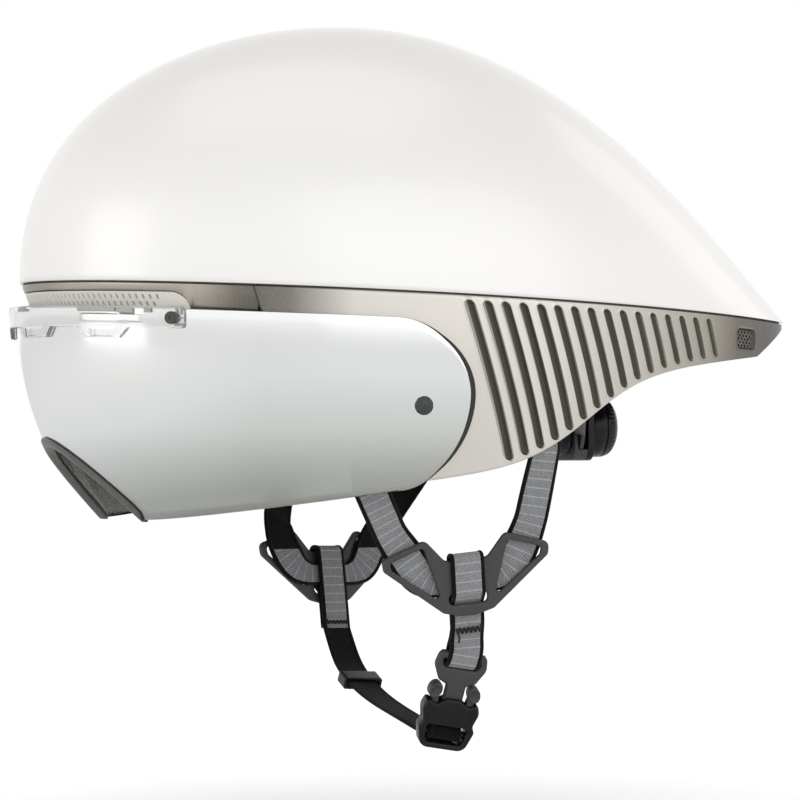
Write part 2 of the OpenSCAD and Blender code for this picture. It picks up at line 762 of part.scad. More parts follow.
bridge_in = lens_out - seat_gap - 0.1;
bridge_high = lens_top - 0.8;
bridge_mid = bridge_high + bridge_h / 2;
module visor_bridge() {
  function tab(a) = max([for (t = TABS)
    min(max((t[1] - abs(abs(a) - t[0])) / 1.8, 0), 1)]);
  half = concat([0, 3], [for (t = TABS) each
      [t[0] - t[1], t[0] - t[1] + 1.8, t[0], t[0] + t[1] - 1.8, t[0] + t[1],
       t[0] + t[1] + 4]],
    [46.5, bridge_angle]);
  angles = concat([for (i = [len(half) - 1:-1:1]) -half[i]], half);
  function rows(a) =
    [bridge_high, bridge_mid, bridge_high + bridge_h,
     bridge_high + bridge_h + 0.01 + tab_h * tab(a)];
  color("white", 0.35) difference() {
    slab([for (a = angles) [for (h = rows(a)) low(a, h, bridge_in - bridge_t)]],
         [for (a = angles) [for (h = rows(a)) low(a, h, bridge_in)]]);
    for (m = [0, 1]) mirror([0, m, 0])
      on_wall(bridge_screw_angle, bridge_mid, 0)
        cylinder(r = bridge_screw_r + seat_gap / 2, h = 6 * lens_t,
                 center = true);
  }
}
module bridge_screw_right() {
  face = bridge_in - bridge_t;
  color("gray") on_wall(bridge_screw_angle, bridge_mid, face) {
    translate([0, 0, seat_gap]) difference() {
      cylinder(r = 1.8 * bridge_screw_r, h = 0.8 * bridge_screw_r);
      translate([0, 0, 0.4 * bridge_screw_r])
        cylinder(r = 0.7 * bridge_screw_r, h = bridge_screw_r, $fn = 6);
    }
    translate([0, 0, -bridge_t - lens_t + seat_gap])
      cylinder(r = bridge_screw_r, h = bridge_t + lens_t);
  }
}
module bridge_screw_left() { left() bridge_screw_right(); }

module visor_cap_right() {
  dome_r = (cap_r * cap_r + cap_h * cap_h) / (2 * cap_h);
  stem = seat_gap / 2 + lens_t + visor_gap + panel_inset - run_gap;
  color("darkslategray") on_wall(cap_angle, cap_depth, lens_out - seat_gap / 2) {
    rotate_extrude() intersection() {
      translate([0, cap_h - dome_r]) circle(dome_r, $fn = 96);
      square([cap_r, cap_h]);
    }
    translate([0, 0, -stem]) cylinder(r = stem_r - seat_gap / 2, h = stem);
  }
}
module visor_cap_left() { left() visor_cap_right(); }
module dock_magnet_right() {
  color("gray") on_wall(cap_angle, cap_depth, panel_inset + dock_t - 0.05)
    cylinder(r = dock_r, h = dock_t);
}
module dock_magnet_left() { left() dock_magnet_right(); }

// Webbing harness

// Frames with X towards the tail, Y away from the head and Z up.
function turned(v, r) =
  let (a = [v.x, v.y * cos(r.x) - v.z * sin(r.x),
            v.y * sin(r.x) + v.z * cos(r.x)],
       b = [a.x * cos(r.y) + a.z * sin(r.y), a.y,
            -a.x * sin(r.y) + a.z * cos(r.y)])
  [b.x * cos(r.z) - b.y * sin(r.z), b.x * sin(r.z) + b.y * cos(r.z), b.z];
left_divider = [[divider_left_x, divider_left_y, divider_z], 0];
right_divider = [[divider_right_x, divider_right_y, divider_z], divider_turn];
function on_divider(f, p) = f[0]
  + turned(turned(turned(p, [0, -divider_roll, 0]), [-divider_lean, 0, 0]),
           [0, 0, f[1]]);
function divider_way(f, v) = on_divider(f, v) - f[0];
module at_divider(f) {
  translate(f[0]) rotate([0, 0, f[1]]) rotate([-divider_lean, 0, 0])
    rotate([0, -divider_roll, 0]) children();
}
buckle_at = [buckle_x, buckle_y, buckle_z];
function on_buckle(p) = buckle_at + turned(p, [-buckle_lean, buckle_roll, 0]);
function buckle_way(v) = on_buckle(v) - buckle_at;
module at_buckle() {
  translate(buckle_at) rotate([-buckle_lean, buckle_roll, 0]) children();
}
// Set a child with its X, Y and Z along three square directions.
module along(p, x, y, z) {
  multmatrix([[x.x, y.x, z.x, p.x], [x.y, y.y, z.y, p.y],
              [x.z, y.z, z.z, p.z], [0, 0, 0, 1]]) children();
}

tip = [divider_half_w - divider_rail / 2, 5.5];
shoulder = [20, 12.5];
neck = [9.5, 3.2];
foot = [8.5, -16.5];
slot_v = foot.y + 4.6;
module divider(f) {
  rail = divider_rail / 2;
  module bar(p, q, r) {
    hull() {
      translate(p) circle(rail);
      translate(q) circle(r);
    }
  }
  color("dimgray") at_divider(f) rotate([90, 0, 0])
    linear_extrude(divider_t, center = true) difference() {
      union() {
        for (m = [0, 1]) mirror([m, 0]) {
          bar(tip, shoulder, rail);
          bar(neck, shoulder, rail);
          bar(tip, foot, divider_r);
        }
        hull() for (m = [0, 1]) mirror([m, 0]) {
          translate(neck) circle(rail);
          translate(foot) circle(divider_r);
        }
      }
      hull() for (m = [-1, 1]) translate([m * web_w / 2, slot_v])
        circle(web_t / 2 + 1.9);
    }
}
module divider_left() { left() divider(left_divider); }
module divider_right() { divider(right_divider); }

web_off = divider_t / 2 + seat_gap + web_t / 2;
web_step = web_t + fit_gap;
// Where a strap's anchor sits: its middle and the wall's outward normal.
function anchor_at(x) =
  let (a = angle_at(x), h = edge(x) - anchor_up)
  low(a, h, panel_inset + panel_wall + fit_gap + anchor_t / 2 + 0.3);
function anchor_out(x) =
  let (a = angle_at(x), l = wall_lean(a, edge(x) - anchor_up),
       n = heading(a))
  [sin(n) * cos(l), -cos(n) * cos(l), -sin(l)];
// Where the webbing passes behind the divider's upper rail, raised by up.
function rail_at(f, s, up = 9) =
  on_divider(f, [s * ((tip.x + shoulder.x) / 2 + up / 4), -web_off,
                 (tip.y + shoulder.y) / 2 + up]);
function square_to(v, d) = unit(v - (v * d) * d);

// Way that the webbing leaves its anchor, laid in the wall.
function anchor_way(f, x, s) =
  square_to(anchor_at(x) - rail_at(f, s), anchor_out(x));

module anchor(f, x, s) {
  up = anchor_way(f, x, s);
  out = anchor_out(x);
  along(anchor_at(x), cross(up, out), up, out) difference() {
    linear_extrude(anchor_t, center = true)
      rounded(anchor_w, anchor_h, 1.5, $fn = 24);
    translate([-web_w / 2 - seat_gap, -anchor_h, -web_t / 2 - seat_gap])
      cube([web_w + 2 * seat_gap, 1.6 * anchor_h, web_t + 2 * seat_gap]);
  }
}
module web_anchors(f) {
  color("black") {
    anchor(f, anchor_front_x, -1);
    anchor(f, anchor_rear_x, 1);
  }
}
module web_anchors_left() { left() web_anchors(left_divider); }
module web_anchors_right() { web_anchors(right_divider); }

module side_web(f) {
  out = divider_way(f, [0, 1, 0]);
  function run(x, s) =
    let (p = anchor_at(x), up = anchor_way(f, x, s))
    [p + up * 0.05 * anchor_h, p - up * (anchor_h / 2 + 4),
     rail_at(f, s), rail_at(f, s, 0)];
  function outs(x) = let (o = anchor_out(x)) [o, o, out, out];
  function back(v) = [for (i = [len(v) - 1:-1:0]) v[i]];
  middle = [for (q = [[-20, 2], [-9, -2.6], [9, -2.6], [20, 2]])
    on_divider(f, [q.x, -web_off, q.y])];
  points = concat(run(anchor_front_x, -1), middle,
                  back(run(anchor_rear_x, 1)));
  faces = concat(outs(anchor_front_x), [for (q = middle) out],
                 back(outs(anchor_rear_x)));
  n = len(points) - 1;
  color("gray") ribbon(soften(points),
    soften([for (i = [0:n]) unit(cross(
      unit(points[min(i + 1, n)] - points[max(i - 1, 0)]), faces[i]))]),
    web_w, web_t);
}
module side_web_left() { left() side_web(left_divider); }
module side_web_right() { side_web(right_divider); }

// Path of a chin strap through a divider, as [outward, up] pairs: up the
// front of the middle, over its top and down behind the side webbing.
loop_top = neck.y + divider_rail / 2;
loop_rear = -web_off - web_step;
join_v = foot.y - join_drop;
function divider_loop(from) = [
  [-web_off, from], [-web_off, slot_v - 4.4], [-web_off, slot_v - 2],
  [web_off, slot_v + 2], [web_off, slot_v + 4.4],
  [web_off, loop_top - 1], [web_off * 0.9, loop_top + 1.2],
  [0, loop_top + 2.2], [loop_rear * 0.8, loop_top + 1.4],
  [loop_rear, loop_top - 1.4], [loop_rear, join_v]];
function loop_points(f, from) = [for (q = divider_loop(from))
  on_divider(f, [0, q.x, q.y])];

socket_top = 4.5;
buckle_top = socket_top + 21.7;
bar_z = buckle_top - ring_bar;
module chin_web_left() {
  f = left_divider;
  bar = on_buckle([0, 0, bar_z]);
  join = on_divider(f, [0, (loop_rear - web_off) / 2, join_v]);
  up = unit(join - bar);
  out = square_to(divider_way(f, [0, 1, 0]), up);
  l = norm(join - bar);
  q = ring_bar + seat_gap + 0.1 + web_t / 2;
  bar_out = buckle_way([0, 1, 0]);
  bar_up = buckle_way([0, 0, 1]);
  wrap = [for (w = concat([[-q, 4]],
      [for (a = [180:30:360]) q * [cos(a), sin(a)]], [[q, 4]]))
    bar + bar_out * w.x + bar_up * w.y];
  near = [for (w = [[-web_step / 2, l - 0.5], [-web_step / 2, l - 5],
                    [web_step / 2, l - 5]]) bar + out * w.x + up * w.y];
  lower = concat([near[0], near[1]], wrap, [near[2]]);
  side = divider_way(f, [1, 0, 0]);
  bar_side = buckle_way([1, 0, 0]);
  across = concat([side, side], [for (p = wrap) bar_side], [side]);
  upper = loop_points(f, join_v + 2);
  color("gray") left() ribbon(soften(concat(lower, upper)),
    soften(concat(across, [for (p = upper) side])),
    web_w, web_t);
}
module chin_loop_right() {
  f = right_divider;
  points = concat([on_divider(f, [0, -web_off, join_v - 5])],
                  loop_points(f, join_v));
  color("gray") ribbon(soften(points),
    [for (p = soften(points)) divider_way(f, [1, 0, 0])], web_w, web_t);
}

// Way of the right chin strap under the chin, ending round the socket's bar.
cross_r = 1.6;
cross_z = socket_top - socket_h - window_h / 2 + 0.9;
keeper_at = [16.9, 38, -170.5];
keeper_way = unit([6.3, -45, -19.2]);
chin_route = [[14.5, 55, -160.5], keeper_at - 9 * keeper_way,
              keeper_at + 9 * keeper_way, [20.8, 10, -179.2],
              [23.7, -20, -183.9]];
function chin_across(s) =
  let (p = divider_way(right_divider, [1, 0, 0]), q = buckle_way([1, 0, 0]))
  unit(p * (1 - s) + [q.x, -q.y, q.z] * s);
module chin_web_right() {
  q = cross_r + seat_gap + 0.1 + web_t / 2;
  start = on_divider(right_divider, [0, -web_off - web_step / 2, join_v - 6]);
  turn = [for (a = [-110:28:114]) q * [cos(a), sin(a)]];
  wrap = [for (w = concat([[-7, -q * 1.15], [-3, -q]], turn,
                          [[-3, q], [-7, q * 0.55]]))
    let (p = on_buckle([min(w.x, 0) * 0.3, w.x, cross_z + w.y]))
    [p.x, -p.y, p.z]];
  points = concat([start], chin_route, wrap);
  n = len(points);
  color("black") ribbon(soften(points),
    soften([for (i = [0:n - 1]) chin_across(
      i < 2 ? i / 5 : i < 4 ? 0.4 : min((i - 1) / 5, 1))]),
    web_w, web_t);
}
module web_keeper() {
  x = square_to(chin_across(0.4), keeper_way);
  inner = [web_w + 2 * fit_gap, web_t + 2 * fit_gap + 0.6];
  color("black") along(keeper_at, x, cross(keeper_way, x), keeper_way)
    linear_extrude(keeper_l, center = true) difference() {
      rounded(inner.x + 2 * keeper_wall, inner.y + 2 * keeper_wall, 1.2,
              $fn = 24);
      square(inner, center = true);
    }
}

// Side-release buckle

prong_root = [neck_w / 2 + 2.8, -2.2];
module buckle_plug() {
  half = ring_w / 2;
  inner = half - ring_leg;
  low_z = buckle_top - ring_h;
  color("darkslategray") left() at_buckle() {
    rotate([90, 0, 0]) linear_extrude(2 * ring_bar - 0.6, center = true)
      difference() {
        polygon([[-half, bar_z], [half, bar_z], [half - 2, low_z + 1],
                 [half - 4, low_z], [neck_w / 2 + 0.8, low_z],
                 [neck_w / 2, low_z - 0.8], [neck_w / 2, 2.4 - socket_h / 2],
                 [-neck_w / 2, 2.4 - socket_h / 2],
                 [-neck_w / 2, low_z - 0.8], [-neck_w / 2 - 0.8, low_z],
                 [4 - half, low_z],
                 [2 - half, low_z + 1]]);
        polygon([[-inner, bar_z - ring_bar + 0.8],
                 [inner, bar_z - ring_bar + 0.8],
                 [inner - 1.8, low_z + 2 * ring_bar],
                 [1.8 - inner, low_z + 2 * ring_bar]]);
      }
    translate([0, 0, bar_z]) rotate([0, 90, 0])
      cylinder(r = ring_bar, h = ring_w, center = true);
  }
}
module prong() {
  pad = prong_w / 2;
  out = buckle_w / 2 - 1.2 - pad;
  foot_z = socket_top + buckle_gap + pad;
  head_z = buckle_top - ring_h - 0.4 - pad;
  rotate([90, 0, 0]) difference() {
    union() {
      linear_extrude(socket_t - 2 * socket_wall - 2 * buckle_gap,
                     center = true) hull() {
        translate(prong_root) circle(1.5);
        translate([out - 0.6, socket_top + 1]) circle(1.5);
      }
      linear_extrude(socket_t - 2, center = true) hull() {
        translate([out, foot_z]) circle(pad);
        translate([out - 0.6, head_z]) circle(pad);
      }
    }
    for (s = [-1, 1]) translate([0, 0, s * (socket_t / 2 - 1.2)])
      linear_extrude(1, center = true) hull() {
        translate([out, foot_z]) circle(pad / 2);
        translate([out - 0.4, head_z]) circle(pad / 2);
      }
  }
}
module prong_rear() { color("darkslategray") left() at_buckle() prong(); }
module prong_front() {
  color("darkslategray") left() at_buckle() mirror([1, 0, 0]) prong();
}
module buckle_socket() {
  base = socket_top - socket_h;
  inner = [buckle_w - 2 * socket_wall, socket_t - 2 * socket_wall];
  color("black") left() at_buckle() {
    difference() {
      translate([0, 0, base]) linear_extrude(socket_h)
        rounded(buckle_w, socket_t, 2.4, $fn = 32);
      translate([0, 0, base + 1.2]) linear_extrude(socket_h)
        square(inner, center = true);
      rotate([90, 0, 0]) linear_extrude(2 * socket_t, center = true)
        polygon([[-6, socket_top + 1], [-5, socket_top], [0, socket_top - 2.6],
                 [5, socket_top], [6, socket_top + 1]]);
    }
    rotate([90, 0, 0]) linear_extrude(socket_t - 2.4, center = true)
      difference() {
        translate([0, base - window_h / 2 + 0.5])
          rounded(buckle_w, window_h + 1, 3, $fn = 32);
        translate([0, cross_z])
          square([web_w + 3.2, 2 * (cross_r + web_t + 0.6)], center = true);
      }
    translate([0, 0, cross_z]) rotate([0, 90, 0])
      cylinder(r = cross_r, h = web_w + 5, center = true);
  }
}

// Fit cradle

pivot_head = 2.6 * pivot_r;
pivot_y = cavity_half_w * sqrt(1 - pow((cavity_x - pivot_x + pivot_head)
  / cavity_front, 2)) - fit_gap;
eye_w = 3.2;
module pivot_pin_right() {
  color("gray") translate([pivot_x, pivot_y, pivot_z]) rotate([90, 0, 0]) {
    cylinder(r = pivot_head, h = 1.2);
    cylinder(r = pivot_r, h = eye_w + 2 * run_gap + 2.4);
    translate([0, 0, eye_w + 2 * run_gap + 1.2])
      cylinder(r = 1.7 * pivot_r, h = 1.2);
  }
}
module pivot_pin_left() { left() pivot_pin_right(); }
eye_y = pivot_y - 1.2 - run_gap - eye_w / 2;
eye_r = pivot_r + 3;
module pivot_eye_right() {
  color("black") translate([pivot_x, eye_y, pivot_z]) rotate([90, 0, 0])
    difference() {
      cylinder(r = eye_r, h = eye_w, center = true);
      cylinder(r = pivot_r + axle_gap, h = 2 * eye_w, center = true);
    }
}
module pivot_eye_left() { left() pivot_eye_right(); }

rack_x = dial_x - 10;
plate_t = 1.6;
rack_out = housing_half_w + 3;
pitch_r = gear_module * pinion_teeth / 2;
tooth_pitch = PI * gear_module;
travel = pitch_r * dial_turn * PI / 180;
backlash = 0.35;
plate_half_h = pitch_r + 3.7;
belt_x = rack_x + plate_t / 2;
// The belt follows an ellipse from its pivot to the end of its rack.
module belt(x_end) {
  start = asin((rack_out + 1.2) / eye_y);
  l = (x_end - pivot_x) / cos(start);
  first = asin((eye_r + run_gap) / l) / (90 - start);
  points = [for (s = spread(18, first, 1)) let (a = 90 - s * (90 - start))
    [pivot_x + l * cos(a), eye_y * sin(a),
     pivot_z + (dial_z - pivot_z) * s]];
  ribbon(points, [for (p = points) [0, 0, 1]], belt_h, belt_t);
}
module belt_right() { color("black") belt(belt_x + plate_t + run_gap); }
module belt_left() { color("black") left() belt(belt_x); }

// Rack plate with teeth along the upper edge of its slot. The belt's end
// points along +Y.
module rack(x) {
  slot_half = travel + pitch_r + gear_module + 0.5;
  tip_z = pitch_r - 0.7 * gear_module;
  root_z = pitch_r + 0.95 * gear_module;
  low_z = -pitch_r - gear_module;
  half_tip = tooth_pitch / 4 - 0.7 * gear_module * tan(25) - backlash / 4;
  half_root = half_tip + (root_z - tip_z) * tan(25);
  color("dimgray") translate([x, 0, dial_z]) rotate([90, 0, 90])
    linear_extrude(plate_t)
      difference() {
        polygon([[-slot_half - 2, plate_half_h], [housing_half_w, plate_half_h],
                 [rack_out, belt_h / 2], [rack_out, -belt_h / 2],
                 [housing_half_w, -plate_half_h],
                 [-slot_half - 2, -plate_half_h]]);
        polygon(concat([[-slot_half, root_z], [-slot_half, low_z],
                        [slot_half, low_z], [slot_half, root_z]],
          [for (i = [rack_teeth - 1:-1:0])
             let (y = (i - (rack_teeth - 1) / 2) * tooth_pitch)
             each [[y + half_root, root_z], [y + half_tip, tip_z],
                   [y - half_tip, tip_z], [y - half_root, root_z]]]));
      }
}
module rack_left() { left() rack(rack_x); }
module rack_right() {
  translate([0, 0, 2 * dial_z]) mirror([0, 0, 1])
    rack(rack_x + plate_t + run_gap);
}

// Involute of the base circle r at unwound angle t, turned by a.
function involute(r, t, a) = let (u = t * PI / 180)
  [r * (cos(t + a) + u * sin(t + a)), r * (sin(t + a) - u * cos(t + a))];
module dial_pinion() {
  base = pitch_r * cos(25);
  top = pitch_r + 0.7 * gear_module;
  bottom = pitch_r - 0.95 * gear_module;
  roll_at = sqrt(pitch_r * pitch_r / base / base - 1) * 180 / PI;
  roll_top = sqrt(top * top / base / base - 1) * 180 / PI;
  at_pitch = roll_at - atan(roll_at * PI / 180);
  half = 90 / pinion_teeth - backlash / 4 / pitch_r * 180 / PI;
  flank = [for (i = [0:3]) involute(base, roll_top * i / 3,
                                    -half - at_pitch)];
  outline = [for (k = [0:pinion_teeth - 1]) let (a = k * 360 / pinion_teeth)
    each [for (p = concat([bottom * [cos(half * 1.3), -sin(half * 1.3)]],
                          flank,
                          [for (i = [3:-1:0]) [flank[i].x, -flank[i].y]],
                          [bottom * [cos(half * 1.3), sin(half * 1.3)]]))
      [p.x * cos(a) - p.y * sin(a), p.x * sin(a) + p.y * cos(a)]]];
  w = 2 * plate_t + run_gap;
  color("gold") translate([rack_x, 0, dial_z]) rotate([90, 0, 90]) {
    translate([0, 0, -0.1]) linear_extrude(w + 0.2)
      rotate(90 + (rack_teeth % 2 == 1 ? 180 / pinion_teeth : 0))
        polygon(outline);
    translate([0, 0, -1.6]) cylinder(r = axle_r, h = dial_x - rack_x + 4);
  }
}

front_x = rack_x - run_gap - 0.2 - housing_wall;
module cradle_housing() {
  deep = 2 * plate_t + 3 * run_gap + 0.4;
  color("darkslategray") translate([front_x, 0, dial_z]) rotate([90, 0, 90])
    difference() {
      linear_extrude(housing_wall + deep)
        rounded(2 * housing_half_w, 2 * housing_half_h, 6);
      translate([0, 0, housing_wall]) linear_extrude(deep + 1)
        rounded(2 * (housing_half_w - housing_wall),
                2 * (housing_half_h - housing_wall), 4.4);
      translate([0, 0, housing_wall + deep / 2])
        cube([3 * housing_half_w, 2 * plate_half_h + 2 * run_gap, deep],
             center = true);
      translate([0, 0, housing_wall - 1.4])
        cylinder(r = axle_r + axle_gap, h = 2);
    }
}
cover_x = front_x + housing_wall + 2 * plate_t + 3 * run_gap + 0.4;
cover_t = dial_x - run_gap - cover_x;
module housing_cover() {
  color("dimgray") translate([cover_x, 0, dial_z]) rotate([90, 0, 90])
    difference() {
      union() {
        linear_extrude(cover_t / 2)
          rounded(2 * housing_half_w, 2 * housing_half_h, 6);
        cylinder(r1 = dial_r + 1, r2 = dial_r - 2, h = cover_t);
      }
      translate([0, 0, -1]) cylinder(r = axle_r + axle_gap, h = cover_t + 2);
    }
}
module nape_pad() {
  deep = 6;
  function spot(u, v, side) =
    let (w = housing_half_w * 0.96 * u,
         h = (housing_half_h - 1) * v * pow(1 - pow(abs(u) * 0.97, 6), 0.4),
         swell = (1 - pow(abs(u), 4)) * (1 - pow(v, 4)))
    [front_x - seat_gap - side * (1.4 + (deep - 1.4) * swell), -w,
     dial_z + h];
  us = spread(12, -1, 1);
  vs = spread(6, 1, -1);
  color("darkslategray") slab([for (u = us) [for (v = vs) spot(u, v, 1)]],
                              [for (u = us) [for (v = vs) spot(u, v, 0)]]);
}
module fit_dial() {
  color("black") translate([dial_x, 0, dial_z]) rotate([90, 0, 90])
    difference() {
      rotate_extrude() polygon([[0, 0], [dial_r - 1, 0], [dial_r, 1],
        [dial_r, dial_t * 0.6], [dial_r - 1.4, dial_t * 0.82],
        [dial_r * 0.66, dial_t], [0, dial_t]]);
      translate([0, 0, -1]) cylinder(r = axle_r, h = 5);
      for (i = [0:flute_count - 1]) rotate(i * 360 / flute_count)
        translate([dial_r + 0.5, 0, 1.6])
          cylinder(r = 1, h = dial_t, $fn = 20);
    }
}

upper_shell();
seam_gasket();
brow_band();
brow_insert();
side_panel_left();
side_panel_right();
port_mesh_left();
port_mesh_right();
liner();
brow_pad();
crown_pad();
temple_pad_left();
temple_pad_right();
lens();
nose_trim();
visor_bridge();
bridge_screw_left();
bridge_screw_right();
visor_cap_left();
visor_cap_right();
dock_magnet_left();
dock_magnet_right();
web_anchors_left();
web_anchors_right();
side_web_left();
side_web_right();
divider_left();
divider_right();
chin_web_left();
chin_loop_right();
chin_web_right();
web_keeper();
buckle_plug();
prong_front();
prong_rear();
buckle_socket();
pivot_pin_left();
pivot_pin_right();
pivot_eye_left();
pivot_eye_right();
belt_left();
belt_right();
rack_left();
rack_right();
cradle_housing();
housing_cover();
nape_pad();
fit_dial();
dial_pinion();
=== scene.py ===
# A time-trial cycling helmet with a magnetic wrap-around visor, built piece by piece round its
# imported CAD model. Shapes are worked out in millimetres in the CAD model's frame: X to the tail,
# Y to the wearer's right, Z up.
import bpy
import bmesh
import numpy as np
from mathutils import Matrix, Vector


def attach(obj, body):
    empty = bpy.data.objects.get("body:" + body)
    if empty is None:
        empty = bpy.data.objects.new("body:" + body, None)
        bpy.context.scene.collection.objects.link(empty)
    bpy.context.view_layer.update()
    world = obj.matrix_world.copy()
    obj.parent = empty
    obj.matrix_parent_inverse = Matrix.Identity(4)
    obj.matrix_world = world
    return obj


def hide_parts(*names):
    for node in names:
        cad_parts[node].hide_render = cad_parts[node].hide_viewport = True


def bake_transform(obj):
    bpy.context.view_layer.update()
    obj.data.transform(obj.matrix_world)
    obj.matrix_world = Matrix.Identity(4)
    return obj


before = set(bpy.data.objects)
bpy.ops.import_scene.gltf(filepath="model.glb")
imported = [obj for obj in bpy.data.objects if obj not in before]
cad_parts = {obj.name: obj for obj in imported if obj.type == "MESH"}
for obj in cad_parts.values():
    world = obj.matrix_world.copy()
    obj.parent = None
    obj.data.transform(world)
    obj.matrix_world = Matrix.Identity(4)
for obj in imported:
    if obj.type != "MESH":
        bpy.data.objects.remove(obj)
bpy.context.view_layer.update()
scene = bpy.context.scene
scene.view_settings.view_transform = "Standard"


# Studio: the camera stands at the photograph's angle, a little below the seam and to the left of
# the helmet, with a long lens. The helmet hangs just over a white table between soft boxes.
AIM, BACK = Vector((0.0249, 0, -0.0441)), Vector((-0.27559, -0.96113, -0.01745))
DISTANCE, FOCUS, FLOOR_Z = 1.6, 162, -0.2235
camera = bpy.data.objects.new("camera", bpy.data.cameras.new("camera"))
scene.collection.objects.link(camera)
camera.location = AIM + DISTANCE * BACK
camera.rotation_euler = BACK.to_track_quat("Z", "Y").to_euler()
camera.data.lens = FOCUS
camera.data.sensor_width = 36
camera.data.clip_end = 20
scene.camera = camera


def adder(tree):
    """Empties a node tree and gives the function that adds a node to it. Its inputs come in
    order, or by name with a capital and _ for a space: each is a value, an sRGB hex colour, or
    the node or socket that feeds it. Other names are the node's settings, and stops a ramp's
    places and colours. A texture lies in object coordinates unless it's given others, and a mix
    is of colours."""
    tree.nodes.clear()

    def add(kind, *inputs, stops=(), **named):
        made = tree.nodes.new("ShaderNode" + kind)
        if kind in ("TexNoise", "TexVoronoi"):
            named.setdefault("Vector", add("TexCoord").outputs["Object"])
        if kind == "Mix":
            made.data_type = "RGBA"
        for key in [key for key in named if key.islower()]:
            setattr(made, key, named.pop(key))
        for n, (at, colour) in enumerate(stops):
            ramp = made.color_ramp.elements
            stop = ramp[-1 if n else 0] if n in (0, len(stops) - 1) else ramp.new(at)
            stop.color = paint(colour) if isinstance(colour, str) else colour
        for key, value in (*enumerate(inputs), *named.items()):
            socket = made.inputs[key.replace("_", " ") if isinstance(key, str) else key]
            if isinstance(value, bpy.types.Node):
                value = next(out for out in value.outputs if out.enabled)
            if isinstance(value, bpy.types.NodeSocket):
                tree.links.new(value, socket)
            else:
                socket.default_value = paint(value) if isinstance(value, str) else value
        return made
    return add


def paint(code):
    """Linear red, green, blue and alpha of an sRGB hex colour: c/12.92 for dark values, and
    ((c + 0.055)/1.055) to the power 2.4 for the others."""
    c = np.array([int(code[i:i + 2], 16) for i in (0, 2, 4)]) / 255
    c = np.where(c < 0.04045, c / 12.92, ((c + 0.055) / 1.055) ** 2.4)
    return (*c.tolist(), 1)


def finish(name, build):
    """A material whose surface is what build returns. It gets the function that adds a node."""
    material = bpy.data.materials.new(name)
    material.use_nodes = True
    add = adder(material.node_tree)
    add("OutputMaterial", build(add))
    return material


# Each soft box has a place and a size in metres, and a power in watts.
LAMP_AIM = Vector((0.03, 0, -0.03))
for name, place, size, watts in (
        ("overhead_box", (-0.05, -0.2, 1.5), (1.4, 1.2), 1),
        ("camera_box", (0.7, -1.9, 0.7), (2.4, 1.6), 3.3),
        ("front_box", (-1.8, -0.6, 0.25), (1.0, 1.4), 2.2),
        ("rear_box", (1.5, 0.5, 0.7), (0.7, 1.2), 0.8)):
    lamp = bpy.data.lights.new(name, "AREA")
    lamp.shape = "RECTANGLE"
    lamp.size, lamp.size_y = size
    lamp.energy = watts
    box = bpy.data.objects.new(name, lamp)
    scene.collection.objects.link(box)
    box.location = place
    box.rotation_euler = (Vector(place) - LAMP_AIM).to_track_quat("Z", "Y").to_euler()

# Brightness of the studio's walls, by the turn from the wearer's right past the front, the left
# and the tail: pale screens, with a slightly dimmer gap where the camera stands and a dimmer
# corner towards the tail.
WALLS = ((0, 1.3), (0.3, 1.3), (0.36, 1.2), (0.42, 1.03), (0.475, 1.03), (0.52, 1.5),
         (0.64, 1.5), (0.74, 0.95), (0.82, 1), (0.9, 1.3), (1, 1.3))
scene.world = bpy.data.worlds.new("studio")
scene.world.use_nodes = True
add = adder(scene.world.node_tree)
rays = add("LightPath").outputs
seen = add("Math", rays["Is Camera Ray"], rays["Is Transmission Ray"], operation="MAXIMUM")
way = add("SeparateXYZ", add("TexCoord").outputs["Generated"]).outputs
turn = add("Math", way["X"], add("Math", way["Y"], -1, operation="MULTIPLY"),
           operation="ARCTAN2")
wall = add("ValToRGB", add("MapRange", turn, -np.pi, np.pi),
           stops=[(at, (level, level, level, 1)) for at, level in WALLS])
wall.color_ramp.interpolation = "B_SPLINE"
room = add("Mix", Factor=add("MapRange", way["Z"], 0.35, 0.8), A=wall, B=(0.7, 0.7, 0.69, 1))
view = add("Mix", Factor=seen, A=room, B=(1, 1, 1, 1))
add("OutputWorld", add("Background", view))


def table_top(add):
    """White diffuse top that also glows for the camera, so only the shadow under the helmet
    shows."""
    glow = add("Math", add("LightPath").outputs["Is Camera Ray"], 0.32, operation="MULTIPLY")
    return add("AddShader", add("BsdfDiffuse", "F4F4F4"), add("Emission", (1, 1, 1, 1), glow))


bpy.ops.mesh.primitive_plane_add(size=14, location=(0, 0, FLOOR_Z))
floor = bpy.context.object
floor.name = "floor"
floor.data.materials.append(finish("white_table", table_top))


# Outer shell: thin polycarbonate, vacuum-formed as a teardrop and sprayed pearl white under
# clear gloss. It's bonded over the foam liner along the seam.
FRONT, TAIL, HALF_W, WIDE_X, CROWN, SHELL_WALL = 145, 208, 98, 15, 120.5, 2
AFT_POWER, SEAM_FALL = 1.7, 0.0385
BEND_FRONT, BEND_TAIL, BEND_SIDE = 0.0024, 0.0031, 0.52


def plan(a, d=0):
    """Plan curve at angle a from the front, set in by d: an ellipse before the widest place, and
    behind it the sine raised to a power."""
    c, s = np.cos(a), np.sin(a)
    return (WIDE_X - np.where(c > 0, WIDE_X + FRONT - d, TAIL - WIDE_X - 1.5 * d) * c,
            (HALF_W - d) * np.where(c > 0, s, np.sign(s) * np.abs(s) ** AFT_POWER))


def seam(x):
    """Level of the seam, which falls steadily to the tail."""
    return -SEAM_FALL * x


